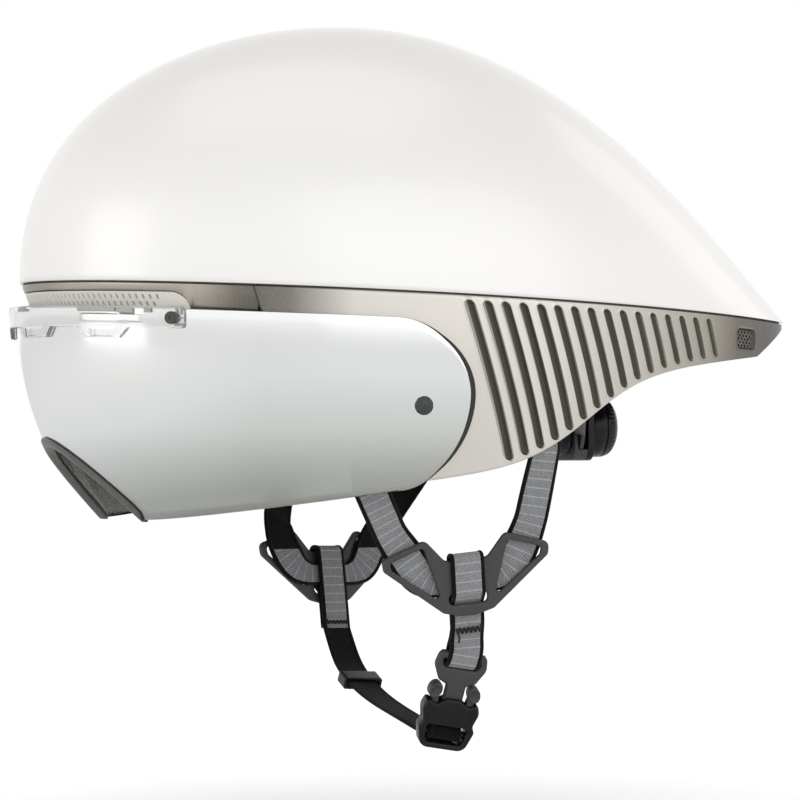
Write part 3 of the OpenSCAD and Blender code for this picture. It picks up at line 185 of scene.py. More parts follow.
def dome(a, t, d=0):
    """Shell at angle a and climb t, set in by d: the plan curve shrinks by cos(t) and rises by
    sin(t) to a power that fits the profiles seen from the side and the front."""
    x, y = plan(a, d)
    rise = CROWN - d - seam(x)
    r2 = x * x + y * y
    c2 = x * x / r2
    f = (1 - x / np.sqrt(r2)) / 2
    bend = c2 * (BEND_FRONT * f + BEND_TAIL * (1 - f)) \
        + (1 - c2) * BEND_SIDE * CROWN / HALF_W ** 2
    return np.stack([x * np.cos(t), y * np.cos(t),
                     seam(x) + rise * np.sin(t) ** (2 * bend * r2 / rise)], -1)


def clean(name, mesh, reach):
    """An object of a mesh, smooth, its points within reach merged and its faces outwards."""
    work = bmesh.new()
    work.from_mesh(mesh)
    bmesh.ops.remove_doubles(work, verts=work.verts, dist=reach)
    bmesh.ops.recalc_face_normals(work, faces=work.faces)
    work.to_mesh(mesh)
    work.free()
    mesh.shade_smooth()
    made = bpy.data.objects.new(name, mesh)
    scene.collection.objects.link(made)
    return made


def mesh_of(name, points, faces):
    """An object from points in millimetres and faces."""
    mesh = bpy.data.meshes.new(name)
    mesh.from_pydata(np.asarray(points) / 1000, [], faces)
    return clean(name, mesh, 1e-7)


def loft(name, rings, around=False, marks=None):
    """Skin over closed rings of points, rings[i, k]. Each ring joins the next, and the first and
    last close at their middles unless the rings run around. marks are three numbers kept with
    each point."""
    m, n = rings.shape[:2]
    i, k = np.meshgrid(np.arange(m if around else m - 1), np.arange(n), indexing="ij")
    j, l = (i + 1) % m, (k + 1) % n
    faces = np.stack([i * n + k, i * n + l, j * n + l, j * n + k], -1).reshape(-1, 4).tolist()
    points = rings.reshape(-1, 3)
    if not around:
        points = np.vstack([points, rings[0].mean(0), rings[-1].mean(0)])
        k = np.arange(n)
        ends = np.stack([np.full(n, m * n), k, (k + 1) % n], -1)
        last = ends + (m - 1) * n
        last[:, 0] = m * n + 1
        faces += ends.tolist() + last[:, ::-1].tolist()
    made = mesh_of(name, points, faces)
    if marks is not None:
        marks = marks.reshape(-1, 3)
        if not around:
            marks = np.vstack([marks, marks[0], marks[-1]])
        kept = made.data.attributes.new("along", "FLOAT_VECTOR", "POINT")
        kept.data.foreach_set("vector", marks.astype(np.float32).ravel())
    return made


def dressed(made, material, body, slot, *replaced, sharp=0):
    """Gives a finished piece its material and its body, and hides the CAD nodes that it stands
    for. Its slot is not used. Edges over sharp degrees stay crisp."""
    if sharp:
        made.data.set_sharp_from_angle(angle=np.radians(sharp))
    made.data.materials.append(material)
    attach(made, body)
    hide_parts(*replaced)
    return made


def pearl_lacquer(add):
    """Sprayed pearl white under clear gloss: mica flakes give a soft sheen in wide bands, and it
    warms a little where it faces away."""
    peel = add("TexNoise", Scale=420, Detail=1)
    facing = add("LayerWeight", Blend=0.3).outputs["Facing"]
    return add("BsdfPrincipled", Base_Color=add("Mix", Factor=facing, A="FAF9F7", B="ECE8E4"),
               Metallic=0.25, Roughness=0.3, Coat_Weight=0.7, Coat_Roughness=0.05,
               Normal=add("Bump", Strength=0.02, Distance=0.0002, Height=peel))


around_shell = np.linspace(0, 2 * np.pi, 240, endpoint=False)
climbs = np.radians(np.concatenate([[0.15, 1, 3], np.linspace(6, 84, 40), [86, 88, 89.5]]))
skin = [dome(around_shell, t) for t in climbs[::-1]]
roll = [dome(around_shell, 0, d) for d in (0.25, 0.7, 1.7)]
lining = [dome(around_shell, t, SHELL_WALL) for t in climbs]
dressed(loft("upper_shell_skin", np.array(skin + roll + lining)),
        finish("pearl_white_lacquered_polycarbonate", pearl_lacquer), "helmet", "shell",
        "upper_shell")


# Seam gasket: a dark rubber strip that fills the shadow line between the shell and the lower
# panels.
SIDE_TUCK, FRONT_TUCK, TUCK_POWER = 3.2e-4, 8.3e-4, 2.3
GASKET_H, GASKET_FACE, GASKET_BACK = 0.75, 1.7, 3.5


def low(a, h, d=0):
    """Wall at angle a and depth h below the seam, set in by d. It also tucks in by h to a power,
    more at the front, by the square of how far the wall faces forwards."""
    p = HALF_W * np.maximum(np.cos(a), 0)
    q = (FRONT + WIDE_X) * np.sin(a)
    share = p * p / np.maximum(p * p + q * q, 1e-9)
    tuck = (SIDE_TUCK + (FRONT_TUCK - SIDE_TUCK) * share) * np.maximum(h, 0) ** TUCK_POWER
    x, y = plan(a, d + tuck)
    return np.stack([x, y, seam(x) - h], -1)


def banded(a, pairs, wall=low):
    """Rings over the wall at angles a: each pair is a depth and an inset."""
    return np.stack([wall(a, h, d) for h, d in pairs], 1)


def two_tone(add, dark, pale, scale, detail):
    """Noise over the piece, of so many cells to the metre, and the colour that it mixes."""
    grain = add("TexNoise", Scale=scale, Detail=detail)
    return grain, add("Mix", Factor=grain, A=dark, B=pale)


def mottled(name, dark, pale, scale, detail=2, **sockets):
    """A material of two mixed tones, with other values of its shader in sockets."""
    return finish(name, lambda add: add(
        "BsdfPrincipled", two_tone(add, dark, pale, scale, detail)[1], **sockets))


strip = banded(around_shell, (
    (0, GASKET_FACE), (0.2, 1.6), (0.55, 1.6), (GASKET_H, GASKET_FACE), (GASKET_H, GASKET_BACK),
    (0, GASKET_BACK)))
# Brown-black rubber: matt, with a fine dusty mottle.
dressed(loft("seam_gasket_strip", strip, around=True),
        mottled("brown_black_rubber", "3A3731", "524E46", 300, 3, Roughness=0.6),
        "helmet", "gasket", "seam_gasket")


# Brow band: a moulded bar under the shell's front, sprayed with champagne metallic lacquer. Its
# recess holds the perforated insert.
PANEL_INSET, PANEL_WALL = 0.8, 4
BAND_ANGLE, BROW_DEPTH, BROW_LEAN = np.radians(61.5), 30, 0.35
INSERT_ANGLE, INSERT_ROUND = np.radians(49.8), np.radians(3.8)
INSERT_TOP, INSERT_DROP, INSERT_LOW, RECESS = 4.3, 7.5, 15, 2


def brow_lean(a):
    """Share of the depth by which the brow leans in: a cosine that fades at the band's ends."""
    return BROW_LEAN * np.maximum(np.cos(a * np.pi / 2 / BAND_ANGLE), 0)


def brow(a, h, d=0):
    """Face of the brow band at angle a and depth h, set in by d."""
    return low(a, h, PANEL_INSET + brow_lean(a) * h + d)


def insert_line(a):
    """Top edge of the insert, with an elliptical drop at each end."""
    u = np.clip((np.abs(a) - INSERT_ANGLE + INSERT_ROUND) / INSERT_ROUND, 0, 1)
    return INSERT_TOP + INSERT_DROP * (1 - np.sqrt(1 - u * u))


def lacquer(add, fade, groove=None, lee=None):
    """Metal flake in satin champagne lacquer, with a painted reflection and shade that runs paler
    and darker along the helmet: fade gives places in millimetres and their colours. Flakes of half
    a millimetre are drawn coarser than the real ones. A marked groove gets a painted highlight on
    its forward wall, and painted shade, dull and dark, by its lee mark."""
    flake = add("TexVoronoi", Scale=2400).outputs["Color"]
    start, stop = fade[0][0], fade[-1][0]
    x = add("SeparateXYZ", add("TexCoord").outputs["Object"])
    # Painted reflection and shade: the lacquer's colour runs paler and darker along the helmet, as
    # fade lists.
    painted_reflection = add("ValToRGB", add("MapRange", x, start / 1000, stop / 1000),
                stops=[((at - start) / (stop - start), code) for at, code in fade])
    base = add("Mix", Factor=add("Math", flake, 0.1, operation="MULTIPLY"), A=painted_reflection, B="F4EFE8")
    shine = 0.85
    if groove is not None:
        # Painted shade in the grooves, pale on the forward wall as a painted highlight.
        shade = add("Mix", Factor=lee, A="F4EEE4", B="4E4A41")
        base = add("Mix", Factor=groove, A=base, B=shade)
        shine = add("MapRange", groove, To_Min=0.85, To_Max=0.5)
    return add("BsdfPrincipled", base, Metallic=shine, Coat_Weight=0.12, Coat_Roughness=0.15,
               Roughness=add("MapRange", flake, To_Min=0.3, To_Max=0.35))


def band_lacquer(add):
    """The band's lacquer with painted reflection and shade: pale at the brow and darker to the
    joints.
    """
    return lacquer(add, ((-145, "8F897F"), (-132, "B9B2A7"), (-84, "ADA69B"), (-70, "716D64"),
                         (-61, "5C5953")))


lip = INSERT_ANGLE + np.radians(0.4)
fine = np.concatenate([np.linspace(-BAND_ANGLE, -lip - 0.006, 12), np.linspace(-lip, lip, 161),
                       np.linspace(lip + 0.006, BAND_ANGLE, 12)])
inside = np.abs(fine) <= lip
top = np.where(inside, insert_line(np.clip(fine, -INSERT_ANGLE, INSERT_ANGLE)) - 0.45, 11.6)
cut = np.where(inside, RECESS, 0)
rings = banded(fine, (
    (GASKET_H, 0.35), (GASKET_H + 0.15, 0.1), (GASKET_H + 0.4, 0), (top - 0.2, 0), (top, 0.15),
    (top + 0.05, cut), (INSERT_LOW + 0.2, cut), (INSERT_LOW + 0.25, 0.15), (INSERT_LOW + 0.5, 0),
    (BROW_DEPTH - 0.5, 0), (BROW_DEPTH, 0.6), (BROW_DEPTH, PANEL_WALL), (GASKET_H, PANEL_WALL)),
    brow)
dressed(loft("brow_band_bar", rings), finish("champagne_metallic_satin_lacquer", band_lacquer),
        "helmet", "panel", "brow_band", sharp=40)


# Perforated insert: a satin white moulding pressed into the brow band's recess. Two rows of
# slanted slits let air through to the brow.
SLIT_PITCH, SLIT_END = np.radians([1.45, 43.8])
SLIT_W, SLIT_H, SLIT_SLANT, SLIT_DEEP, SLIT_CORNER = 0.8, 1.7, 0.36, 1.1, 0.3
ROW_TOP, ROW_PITCH, BROW_RADIUS = INSERT_TOP + 2.2, 3, 150


def step(v, a, b):
    """Smooth step from 0 at a to 1 at b."""
    u = np.clip((v - a) / (b - a), 0, 1)
    return u * u * (3 - 2 * u)


def satin_white(add):
    """Satin white moulded plastic, slightly warm, with painted shade, a tan, in the slits where
    the mark on the mesh says so, and a fine moulding grain."""
    deep = add("SeparateXYZ", add("Attribute", attribute_name="along").outputs["Vector"])
    grain, white = two_tone(add, "E2DED7", "EDEAE4", 900, 2)
    # Painted shade: the slits are mixed towards tan by their mark.
    return add("BsdfPrincipled", add("Mix", Factor=deep, A=white, B="B8B0A4"), Roughness=0.38,
               Normal=add("Bump", Strength=0.05, Distance=0.0002, Height=grain))


turns = np.linspace(-INSERT_ANGLE, INSERT_ANGLE, 1401)
a, v = np.meshgrid(turns, np.linspace(0, 1, 40), indexing="ij")
crest = np.minimum(insert_line(a), INSERT_LOW - 0.6)
h = crest + (INSERT_LOW - crest) * v
deep = np.zeros_like(a)
for row in (0, 1):
    down = h - ROW_TOP - row * ROW_PITCH
    middle = (np.round(a / SLIT_PITCH - row / 2) + row / 2) * SLIT_PITCH
    across = (a - middle) * BROW_RADIUS * np.sqrt(1 - 0.75 * np.sin(middle) ** 2) \
        - np.sign(a) * SLIT_SLANT * down
    past = [np.maximum(np.abs(w) - size / 2 + SLIT_CORNER, 0)
            for w, size in ((across, SLIT_W), (down, SLIT_H))]
    slit = 1 - step(np.hypot(*past), 0.18, 0.42)
    deep = np.maximum(deep, (np.abs(middle) < SLIT_END) * slit)
face = brow(a, h, 0.2 + SLIT_DEEP * deep)
face[:, 0], face[:, -1] = (brow(turns, h[:, k], 0.5) for k in (0, -1))
back = banded(turns, ((h[:, -1], 1.8), (h[:, 0], 1.8)), brow)
# The first mark is where shade is painted in the slits.
marks = np.concatenate([np.stack([deep, a, h], -1), np.zeros((len(turns), 2, 3))], 1)
dressed(loft("brow_insert_plate", np.concatenate([face, back], 1), marks=marks),
        finish("satin_white_moulded_abs", satin_white), "helmet", "insert", "brow_insert")


# Side panels: two moulded wings that meet at the tail, in the brow band's champagne lacquer.
# Each has sixteen rimmed slots and a framed port.
EDGE_X, EDGE_DEEP, EDGE_FALL, EDGE_STEP, EDGE_SPAN = TAIL - 121, 50, 0.147, 18.2, 29
TIP_DEEP, TIP_RISE, JOINT_BLEND = 3, 0.65, np.radians(23)
SLOT_COUNT, SLOT_X, SLOT_PITCH, SLOT_TOP, SLOT_LEAN, SLOT_MARGIN = 16, 27.7, 8.25, 4.6, 0.33, 4.4
SLOT_HALF, SLOT_NARROWS, SLOT_DEEP, SLOT_SHALLOWS, SLOT_RAISE = 2.1, 0.4, 2.1, 0.6, 0.6
PORT_X, PORT_H, PORT_HALF_W, PORT_HALF_H, PORT_ROUND, PORT_DEEP = TAIL - 31, 10, 8.5, 4.5, 2.5, 1.9
RIM = 0.34
SIDES = (("right", 1), ("left", -1))


def edge(x):
    """Depth of a panel's lower edge at x: a falling line with a smooth step, cut off by the line
    that rises to the tail's tip."""
    return np.minimum(EDGE_DEEP - EDGE_FALL * (x - EDGE_X)
                      - EDGE_STEP * np.tanh((x - EDGE_X) / EDGE_SPAN),
                      TIP_DEEP + TIP_RISE * (TAIL - x))


def skirt(a):
    """Depth of the lower edge all round: the brow's depth, blended to the panel's edge."""
    share = step(np.abs(a), BAND_ANGLE, BAND_ANGLE + JOINT_BLEND)
    return BROW_DEPTH + (edge(plan(a)[0]) - BROW_DEPTH) * share


def angle_at(x):
    """Angle from the front at which the plan curve reaches x."""
    reach = np.where(x > WIDE_X, TAIL - WIDE_X, WIDE_X + FRONT)
    return np.arccos(np.clip((WIDE_X - x) / reach, -1, 1))


def panel_lacquer(add):
    """The panels' lacquer with painted reflection and shade: dark at the band's joint, pale past
    the crown and darker to the tail. Marks on the mesh tell the slots, which get painted shade,
    and how far their walls are from the light, which sets a painted highlight."""
    mark = add("SeparateXYZ", add("Attribute", attribute_name="along").outputs["Vector"])
    return lacquer(add, ((-62, "66635C"), (-48, "7D7971"), (-22, "D8D4CD"), (60, "E4E0D9"),
                         (110, "CCC7BE"), (150, "A49F95"), (170, "686359"), (198, "26241F")),
                   mark.outputs["X"], mark.outputs["Y"])


# Lines across the panel lie closer over the slots and round the port. They lean with the slots,
# so each line's x at a depth is found step by step.
PORT_LINES = (165.4, 188)
slot_steps = np.concatenate([
    np.linspace(-SLOT_PITCH / 2, -2.3, 4)[:-1], np.linspace(-2.3, 2.3, 19),
    np.linspace(2.3, SLOT_PITCH / 2, 4)[1:-1]])
slot_lines = (SLOT_X + SLOT_PITCH * np.arange(SLOT_COUNT)[:, None] + slot_steps).ravel()
lines = np.concatenate([
    plan(np.linspace(BAND_ANGLE, angle_at(slot_lines[0] - 1.2), 40))[0], slot_lines,
    np.linspace(slot_lines[-1] + 1.2, PORT_LINES[0] - 0.4, 9), np.linspace(*PORT_LINES, 66)[:-1],
    plan(np.linspace(angle_at(PORT_LINES[1]), np.pi, 26))[0]])
u, v = np.meshgrid(lines, np.linspace(0, 1, 140), indexing="ij")
lean = SLOT_LEAN * step(u, -40, 12) * (1 - step(u, 160, 186))
x = u
for _ in range(12):
    h = GASKET_H + (np.maximum(skirt(angle_at(x)), GASKET_H + 1) - GASKET_H) * v
    x = u + lean * (h - SLOT_TOP)
a = angle_at(x)
joint = 1 - step(a, BAND_ANGLE, BAND_ANGLE + np.radians(8))
a = a + joint * (0.002 * (h - 12) + 0.0075)
x = plan(a)[0]
slope = np.gradient(plan(a)[1], axis=0) / np.maximum(np.gradient(x, axis=0), 1e-3)
stretch = np.sqrt(1 + np.clip(slope, -3, 3) ** 2)
# Distances over the wall to the nearest slot and to the port, less than 0 inside them.
i = np.clip(np.round((u - SLOT_X) / SLOT_PITCH), 0, SLOT_COUNT - 1)
aft = i / (SLOT_COUNT - 1)
line = SLOT_X + SLOT_PITCH * i
ends = edge(line) - SLOT_MARGIN
for _ in range(6):
    ends = edge(line + SLOT_LEAN * (ends - SLOT_TOP)) - SLOT_MARGIN
half = np.sqrt((SLOT_HALF - SLOT_NARROWS * aft) ** 2 - SLOT_RAISE ** 2)
off = (x - line - SLOT_LEAN * (h - SLOT_TOP)) * 0.95 * stretch
slot = np.hypot(off, h - np.clip(h, SLOT_TOP, ends)) - half
px = np.maximum(np.abs(x - PORT_X) * stretch - PORT_HALF_W + PORT_ROUND, 0)
pz = np.maximum(np.abs(h - PORT_H) - PORT_HALF_H + PORT_ROUND, 0)
port = np.hypot(px, pz) - PORT_ROUND
inward = np.clip(-slot / half, 0, 1)
trough = (SLOT_DEEP - SLOT_SHALLOWS * aft) * np.sqrt(1 - (1 - inward) ** 2)
pit = PORT_DEEP * (1 - step(port, -0.55, 0))
q = np.minimum(slot, port)
rim = RIM * step(q, -0.1, 0.2) * (1 - step(q, 0.25, 1.0))
face = low(a, h, PANEL_INSET + np.maximum(trough, pit) - rim)
top = low(a[:, 0], h[:, 0], PANEL_INSET + 0.5)[:, None]
foot = banded(a[:, -1], [(h[:, -1], PANEL_INSET + d) for d in (0.5, 2.5)])
back_h = GASKET_H + (h[:, -1:] - GASKET_H) * np.linspace(1, 0, 12)
back = low(a[:, -1:], back_h, PANEL_INSET + PANEL_WALL)
face[:, 1] = low(a[:, 1], h[:, 0] + 0.12, PANEL_INSET + 0.12)
face[:, -2] = low(a[:, -2], h[:, -1] - 0.3, PANEL_INSET + 0.05)
face = np.concatenate([top, face[:, 1:-1], foot, back], 1)
face[..., 1] = np.maximum(face[..., 1], 0.2)
# Painted highlight: a slot's forward wall is painted pale as if it caught the light, and less so
# towards the tail.
painted_glint = step(off + half, 0.1, 0.4) * step(off + half, 1.9, 1.3) * (port > 1) * (1 - i / 20)
# Marks for the painted shade in the slots: the first covers each slot, and the second is 1 less
# the painted highlight.
marks = np.zeros(face.shape)
marks[:, 1:139, 0] = step(q, 0.32, 0.05)[:, 1:-1]
marks[:, 1:139, 1] = 1 - painted_glint[:, 1:-1]
panel_paint = finish("champagne_lacquer_with_painted_slot_shade", panel_lacquer)
for side, sign in SIDES:
    dressed(loft(f"side_panel_{side}_skin", face * (1, sign, 1), marks=marks), panel_paint,
            "helmet", "panel", f"side_panel_{side}")


# Port meshes: a small grille of crossed round wires behind each port, woven in grey steel.
WIRE_R, WIRE_PITCH = 0.3, 1.5


def unit(v):
    """Vectors of length one."""
    return v / np.linalg.norm(v, axis=-1, keepdims=True)


def wall_axes(a, h, d=0):
    """Place on the wall and the unit directions to the tail, up the wall and outwards there,
    from differences of neighbouring points."""
    along = unit(low(a + 1e-3, h, d) - low(a - 1e-3, h, d))
    up = unit(low(a, h - 0.5, d) - low(a, h + 0.5, d))
    return low(a, h, d), along, up, np.cross(up, along)


def strip_rings(points, across, outline):
    """Rings of a strip: outline gives width and height of each corner of its cross-section,
    alike or ring by ring. The width is across, squared to the path, and the height is along the
    path crossed with the width."""
    way = unit(np.gradient(points, axis=0))
    wide = unit(across - (across * way).sum(1, keepdims=True) * way)
    return points[:, None] + wide[:, None] * outline[..., :1] \
        + np.cross(way, wide)[:, None] * outline[..., 1:]


def circle(count, radius=1):
    """Points round a circle, as two numbers each."""
    turn = np.linspace(0, 2 * np.pi, count, endpoint=False)
    return np.stack([radius * np.cos(turn), radius * np.sin(turn)], -1)


def joined(name, parts):
    """One object of several, made into one mesh."""
    with bpy.context.temp_override(active_object=parts[0], selected_editable_objects=parts):
        bpy.ops.object.join()
    parts[0].name = parts[0].data.name = name
    return parts[0]


place, along, up, out = wall_axes(angle_at(np.float64(PORT_X)), PORT_H, PANEL_INSET + 1.35)
rods = []
for wires, reach, count, across, way, bow in (
        (np.arange(-5, 6), 4.2, 13, along, up, 1),
        (np.arange(-2, 4) - 0.5, 8.2, 25, up, along, -1)):
    s = np.linspace(-reach, reach, count)[:, None]
    for n, at in enumerate(wires, int(np.ceil(wires[0]))):
        rods.append(strip_rings(
            place + across * at * WIRE_PITCH + way * s
            + out * bow * WIRE_R * np.cos(s * np.pi / WIRE_PITCH + n * np.pi),
            np.repeat(across[None], count, 0), circle(8, WIRE_R)))
# Drawn grey steel: mid grey and dull, with darker oxide in patches two millimetres across.
grille_wire = mottled("drawn_grey_steel_wire", "2F2E2B", "A3A19B", 450, Metallic=1, Roughness=0.45)
for side, sign in SIDES:
    wires = [loft(f"wire_{n}", r * (1, sign, 1)) for n, r in enumerate(rods)]
    dressed(joined(f"port_mesh_{side}_wires", wires), grille_wire, "helmet", "mesh",
            f"port_mesh_{side}")


# Liner: expanded polystyrene beads steamed together in a mould, in dark grey. The beads show as
# a pebbled skin, and channels run fore and aft.
CAVITY_X, CAVITY_FRONT, CAVITY_REAR, CAVITY_HALF_W = -4, 103, 100, 77
CAVITY_TOP, CAVITY_MID = 84, -8
CHANNELS, CHANNEL_HALF_W, CHANNEL_DEEP, LINER_GAP = (-45, -17, 17, 45), 5.5, 4.5, 0.4
RIM_DEPTH, EAR_DEPTH, EAR_AT, EAR_SPAN = 28, 34, np.radians(92), np.radians(28)


def cavity(a, t, d=0):
    """Wall of the head's cavity at angle a and climb t, brought in by d: two half ellipsoids
    that meet at the cavity's middle."""
    reach = np.where(np.cos(a) > 0, CAVITY_FRONT, CAVITY_REAR) - d
    return np.stack(np.broadcast_arrays(
        CAVITY_X - reach * np.cos(a) * np.cos(t), (CAVITY_HALF_W - d) * np.sin(a) * np.cos(t),
        CAVITY_MID + (CAVITY_TOP - CAVITY_MID - d) * np.sin(t)), -1)


def bead_foam(add):
    """Fused beads three millimetres across: each is a slightly different dark grey, with a soft
    dimple where it meets its neighbours."""
    bead = add("TexVoronoi", Scale=330).outputs["Color"]
    gap = add("TexVoronoi", Scale=330, feature="DISTANCE_TO_EDGE")
    dimple = add("Math", gap, 0.12, operation="MINIMUM")
    return add("BsdfPrincipled", add("Mix", Factor=bead, A="2B2C2E", B="3A3B3D"),
               Roughness=0.62, Normal=add("Bump", Strength=0.5, Distance=0.0004, Height=dimple))


turns = np.linspace(-np.pi, np.pi, 240, endpoint=False)
near = np.abs(turns)
hem = np.maximum(skirt(near) - 1 - 20 * step(near, BAND_ANGLE, BAND_ANGLE + JOINT_BLEND), 5)
lean = brow_lean(np.minimum(near, BAND_ANGLE))
rings = [dome(turns, t, SHELL_WALL + LINER_GAP) for t in np.radians(np.linspace(88, 3, 24))]
rings += [low(turns, hem * f, PANEL_INSET + PANEL_WALL + LINER_GAP + lean * hem * f)
          for f in np.linspace(0, 1, 10)]
rim = RIM_DEPTH + EAR_DEPTH * np.exp(-((near - EAR_AT) / EAR_SPAN) ** 2)
for f in np.linspace(1, 0.05, 14):
    ring = cavity(turns, 0)
    ring[:, 2] = CAVITY_MID - (rim + CAVITY_MID) * f
    rings.append(ring)
for t in np.radians(np.linspace(0, 88, 46)):
    off = cavity(turns, t)[:, 1, None] - CHANNELS
    groove = np.exp(-(off / CHANNEL_HALF_W) ** 4).sum(1)
    rings.append(cavity(turns, t, -CHANNEL_DEEP * groove * np.sin(t) ** 0.5))
dressed(loft("liner_foam", np.array(rings)), finish("moulded_expanded_polystyrene", bead_foam),
        "helmet", "foam", "liner")


# Comfort pads: soft foam laminated in brushed black fabric, held to the liner by hook patches.
# They're swollen by a short cloth simulation.
PAD_T, PAD_EDGE, PAD_GAP, PAD_SWELL, PAD_FILL, PAD_VOXEL = 7, 2.2, 0.6, 1.2, 0.6, 0.0022
CROWN_ARC, CROWN_HALF_W = np.radians(42), 14


def brushed_fabric(add):
    """Brushed polyester jersey: black, soft-edged with a short nap, and knit loops drawn at one
    millimetre so that they show."""
    tone = two_tone(add, "17181A", "2A2B2D", 500, 3)[1]
    loops = add("TexVoronoi", Scale=1000)
    return add("BsdfPrincipled", tone, Roughness=0.9, Sheen_Weight=0.4, Sheen_Roughness=0.4,
               Normal=add("Bump", Strength=0.5, Distance=0.0003, Height=loops))


def pad_rings(spot, nu, nv):
    """Closed rings of a pad from spot(u, v, d), with u and v from -1 to 1: a front crowned by
    (1 - u^6)(1 - v^4) and a back set off the wall."""
    u, v = np.meshgrid(np.linspace(-0.97, 0.97, nu), np.linspace(-0.93, 0.93, nv), indexing="ij")
    crown = PAD_EDGE + (PAD_T - PAD_EDGE - PAD_SWELL) * (1 - np.abs(u) ** 6) * (1 - v ** 4)
    return np.concatenate([spot(u, v, PAD_GAP + crown),
                           spot(u, v, PAD_GAP + 0.35 + 0 * u)[:, ::-1]], 1)


def applied(made, kind, **settings):
    """Applies a modifier of one kind to a piece."""
    bpy.context.view_layer.objects.active = made
    change = made.modifiers.new(kind, kind)
    for key, value in settings.items():
        setattr(change, key, value)
    bpy.ops.object.modifier_apply(modifier=change.name)


def stuffed(made, cap):
    """Voxel remesh, 20 frames of cloth under pressure with no gravity, each point's move capped,
    and one subdivision."""
    applied(made, "REMESH", mode="VOXEL", voxel_size=PAD_VOXEL)
    rest = np.empty(len(made.data.vertices) * 3, np.float32)
    made.data.vertices.foreach_get("co", rest)
    cloth = made.modifiers.new("cloth", "CLOTH")
    cloth.settings.use_pressure = True
    cloth.settings.uniform_pressure_force = 4
    cloth.settings.effector_weights.gravity = 0
    cloth.settings.tension_stiffness = 15
    cloth.settings.mass = 0.3
    for f in range(1, 21):
        scene.frame_set(f)
    swollen = np.empty_like(rest)
    blown = made.evaluated_get(bpy.context.evaluated_depsgraph_get())
    blown.data.vertices.foreach_get("co", swollen)
    made.modifiers.remove(cloth)
    scene.frame_set(1)
    move = (swollen - rest).reshape(-1, 3)
    size = np.linalg.norm(move, axis=1, keepdims=True)
    move *= np.minimum(1, cap / np.maximum(size, 1e-9))
    made.data.vertices.foreach_set("co", rest + move.ravel())
    made.data.shade_smooth()
    finer = made.modifiers.new("finer", "SUBSURF")
    finer.levels = finer.render_levels = 1
    return made


def wall_spot(a0, a1, z0, z1):
    """Place on the cavity wall from angle a0 to a1 and level z0 to z1, the ends rounded by the
    root of 1 less u^8."""
    def spot(u, v, d):
        a = (a0 + a1) / 2 + (a1 - a0) / 2 * u
        z = (z0 + z1) / 2 - (z1 - z0) / 2 * np.sqrt(1 - np.abs(u * 0.98) ** 8) * v
        t = np.arcsin(np.clip((z - CAVITY_MID) / (CAVITY_TOP - CAVITY_MID), 0, 1))
        at = cavity(a, t, d)
        at[..., 2] = z
        return at
    return spot


def crown_spot(u, v, d):
    """Place over the crown: an arc fore and aft, with its ends rounded as the others' are."""
    f = CROWN_ARC * u
    w = CROWN_HALF_W * v * np.sqrt(1 - np.abs(u * 0.98) ** 8)
    b = np.arcsin(w / CAVITY_HALF_W)
    reach = np.where(f < 0, CAVITY_FRONT, CAVITY_REAR) - d
    return np.stack([CAVITY_X + reach * np.sin(f) * np.cos(b), w,
                     CAVITY_MID + (CAVITY_TOP - CAVITY_MID - d) * np.cos(f) * np.cos(b)], -1)


jersey = finish("brushed_black_polyester_jersey", brushed_fabric)
brow_spot = wall_spot(-np.radians(46), np.radians(46), -26, -2)
temple_spot = wall_spot(np.radians(58), np.radians(98), -26, 2)
for name, spot, count, sign in (
        ("brow_pad", brow_spot, 60, 1), ("crown_pad", crown_spot, 60, 1),
        ("temple_pad_right", temple_spot, 30, 1), ("temple_pad_left", temple_spot, 30, -1)):
    pad = stuffed(loft(name + "_cushion", pad_rings(spot, count, 14) * (1, sign, 1)), 0.0009)
    dressed(pad, jersey, "helmet", "pad", name)


# Visor lens: a single thermoformed polycarbonate sheet, mirror coated in silver. It wraps round
# the front and hangs by its bridge and two caps.
LENS_IN, LENS_OUT = -0.6, -2.6
LENS_TOP, LENS_DEPTH, NOTCH, REAR_DEPTH, END_DEPTH = 11.5, 100, 69, 84, 43
CORNER, END_ANGLE, END_ROUND = np.radians([34.5, 83, 10.7])


def lens_end(a, depth):
    """Ellipse that closes the lens's rear end, above or below, from depth at its start."""
    u = np.clip((np.abs(a) - END_ANGLE) / END_ROUND, 0, 1)
    return END_DEPTH + (depth - END_DEPTH) * np.sqrt(1 - u * u)


def lens_low(a):
    """Lower edge: the nose notch opens by the angle to the power 1.95, the cheek rises by the
    power 1.5, and an ellipse closes the end."""
    b = np.abs(a)
    notch = NOTCH + (LENS_DEPTH - NOTCH) * (b / CORNER) ** 1.95
    cheek = LENS_DEPTH - (LENS_DEPTH - REAR_DEPTH) * np.clip(
        (b - CORNER) / (END_ANGLE - CORNER), 0, 1) ** 1.5
    return np.where(b < CORNER, notch, np.where(b < END_ANGLE, cheek, lens_end(a, REAR_DEPTH)))


def rolled(a, h, d, skin, roll, ease, drop):
    """Wall face at inset d, with its upper and lower edges rolled in: the edge lines lie at roll
    from the skin, and their neighbours at ease, a drop away."""
    face = low(a, h, d)
    for rim, near, way in ((0, 1, 1), (-1, -2, -1)):
        face[:, rim] = low(a[:, rim], h[:, rim], skin + roll)
        face[:, near] = low(a[:, near], h[:, rim] + way * drop, skin + ease)
    return face


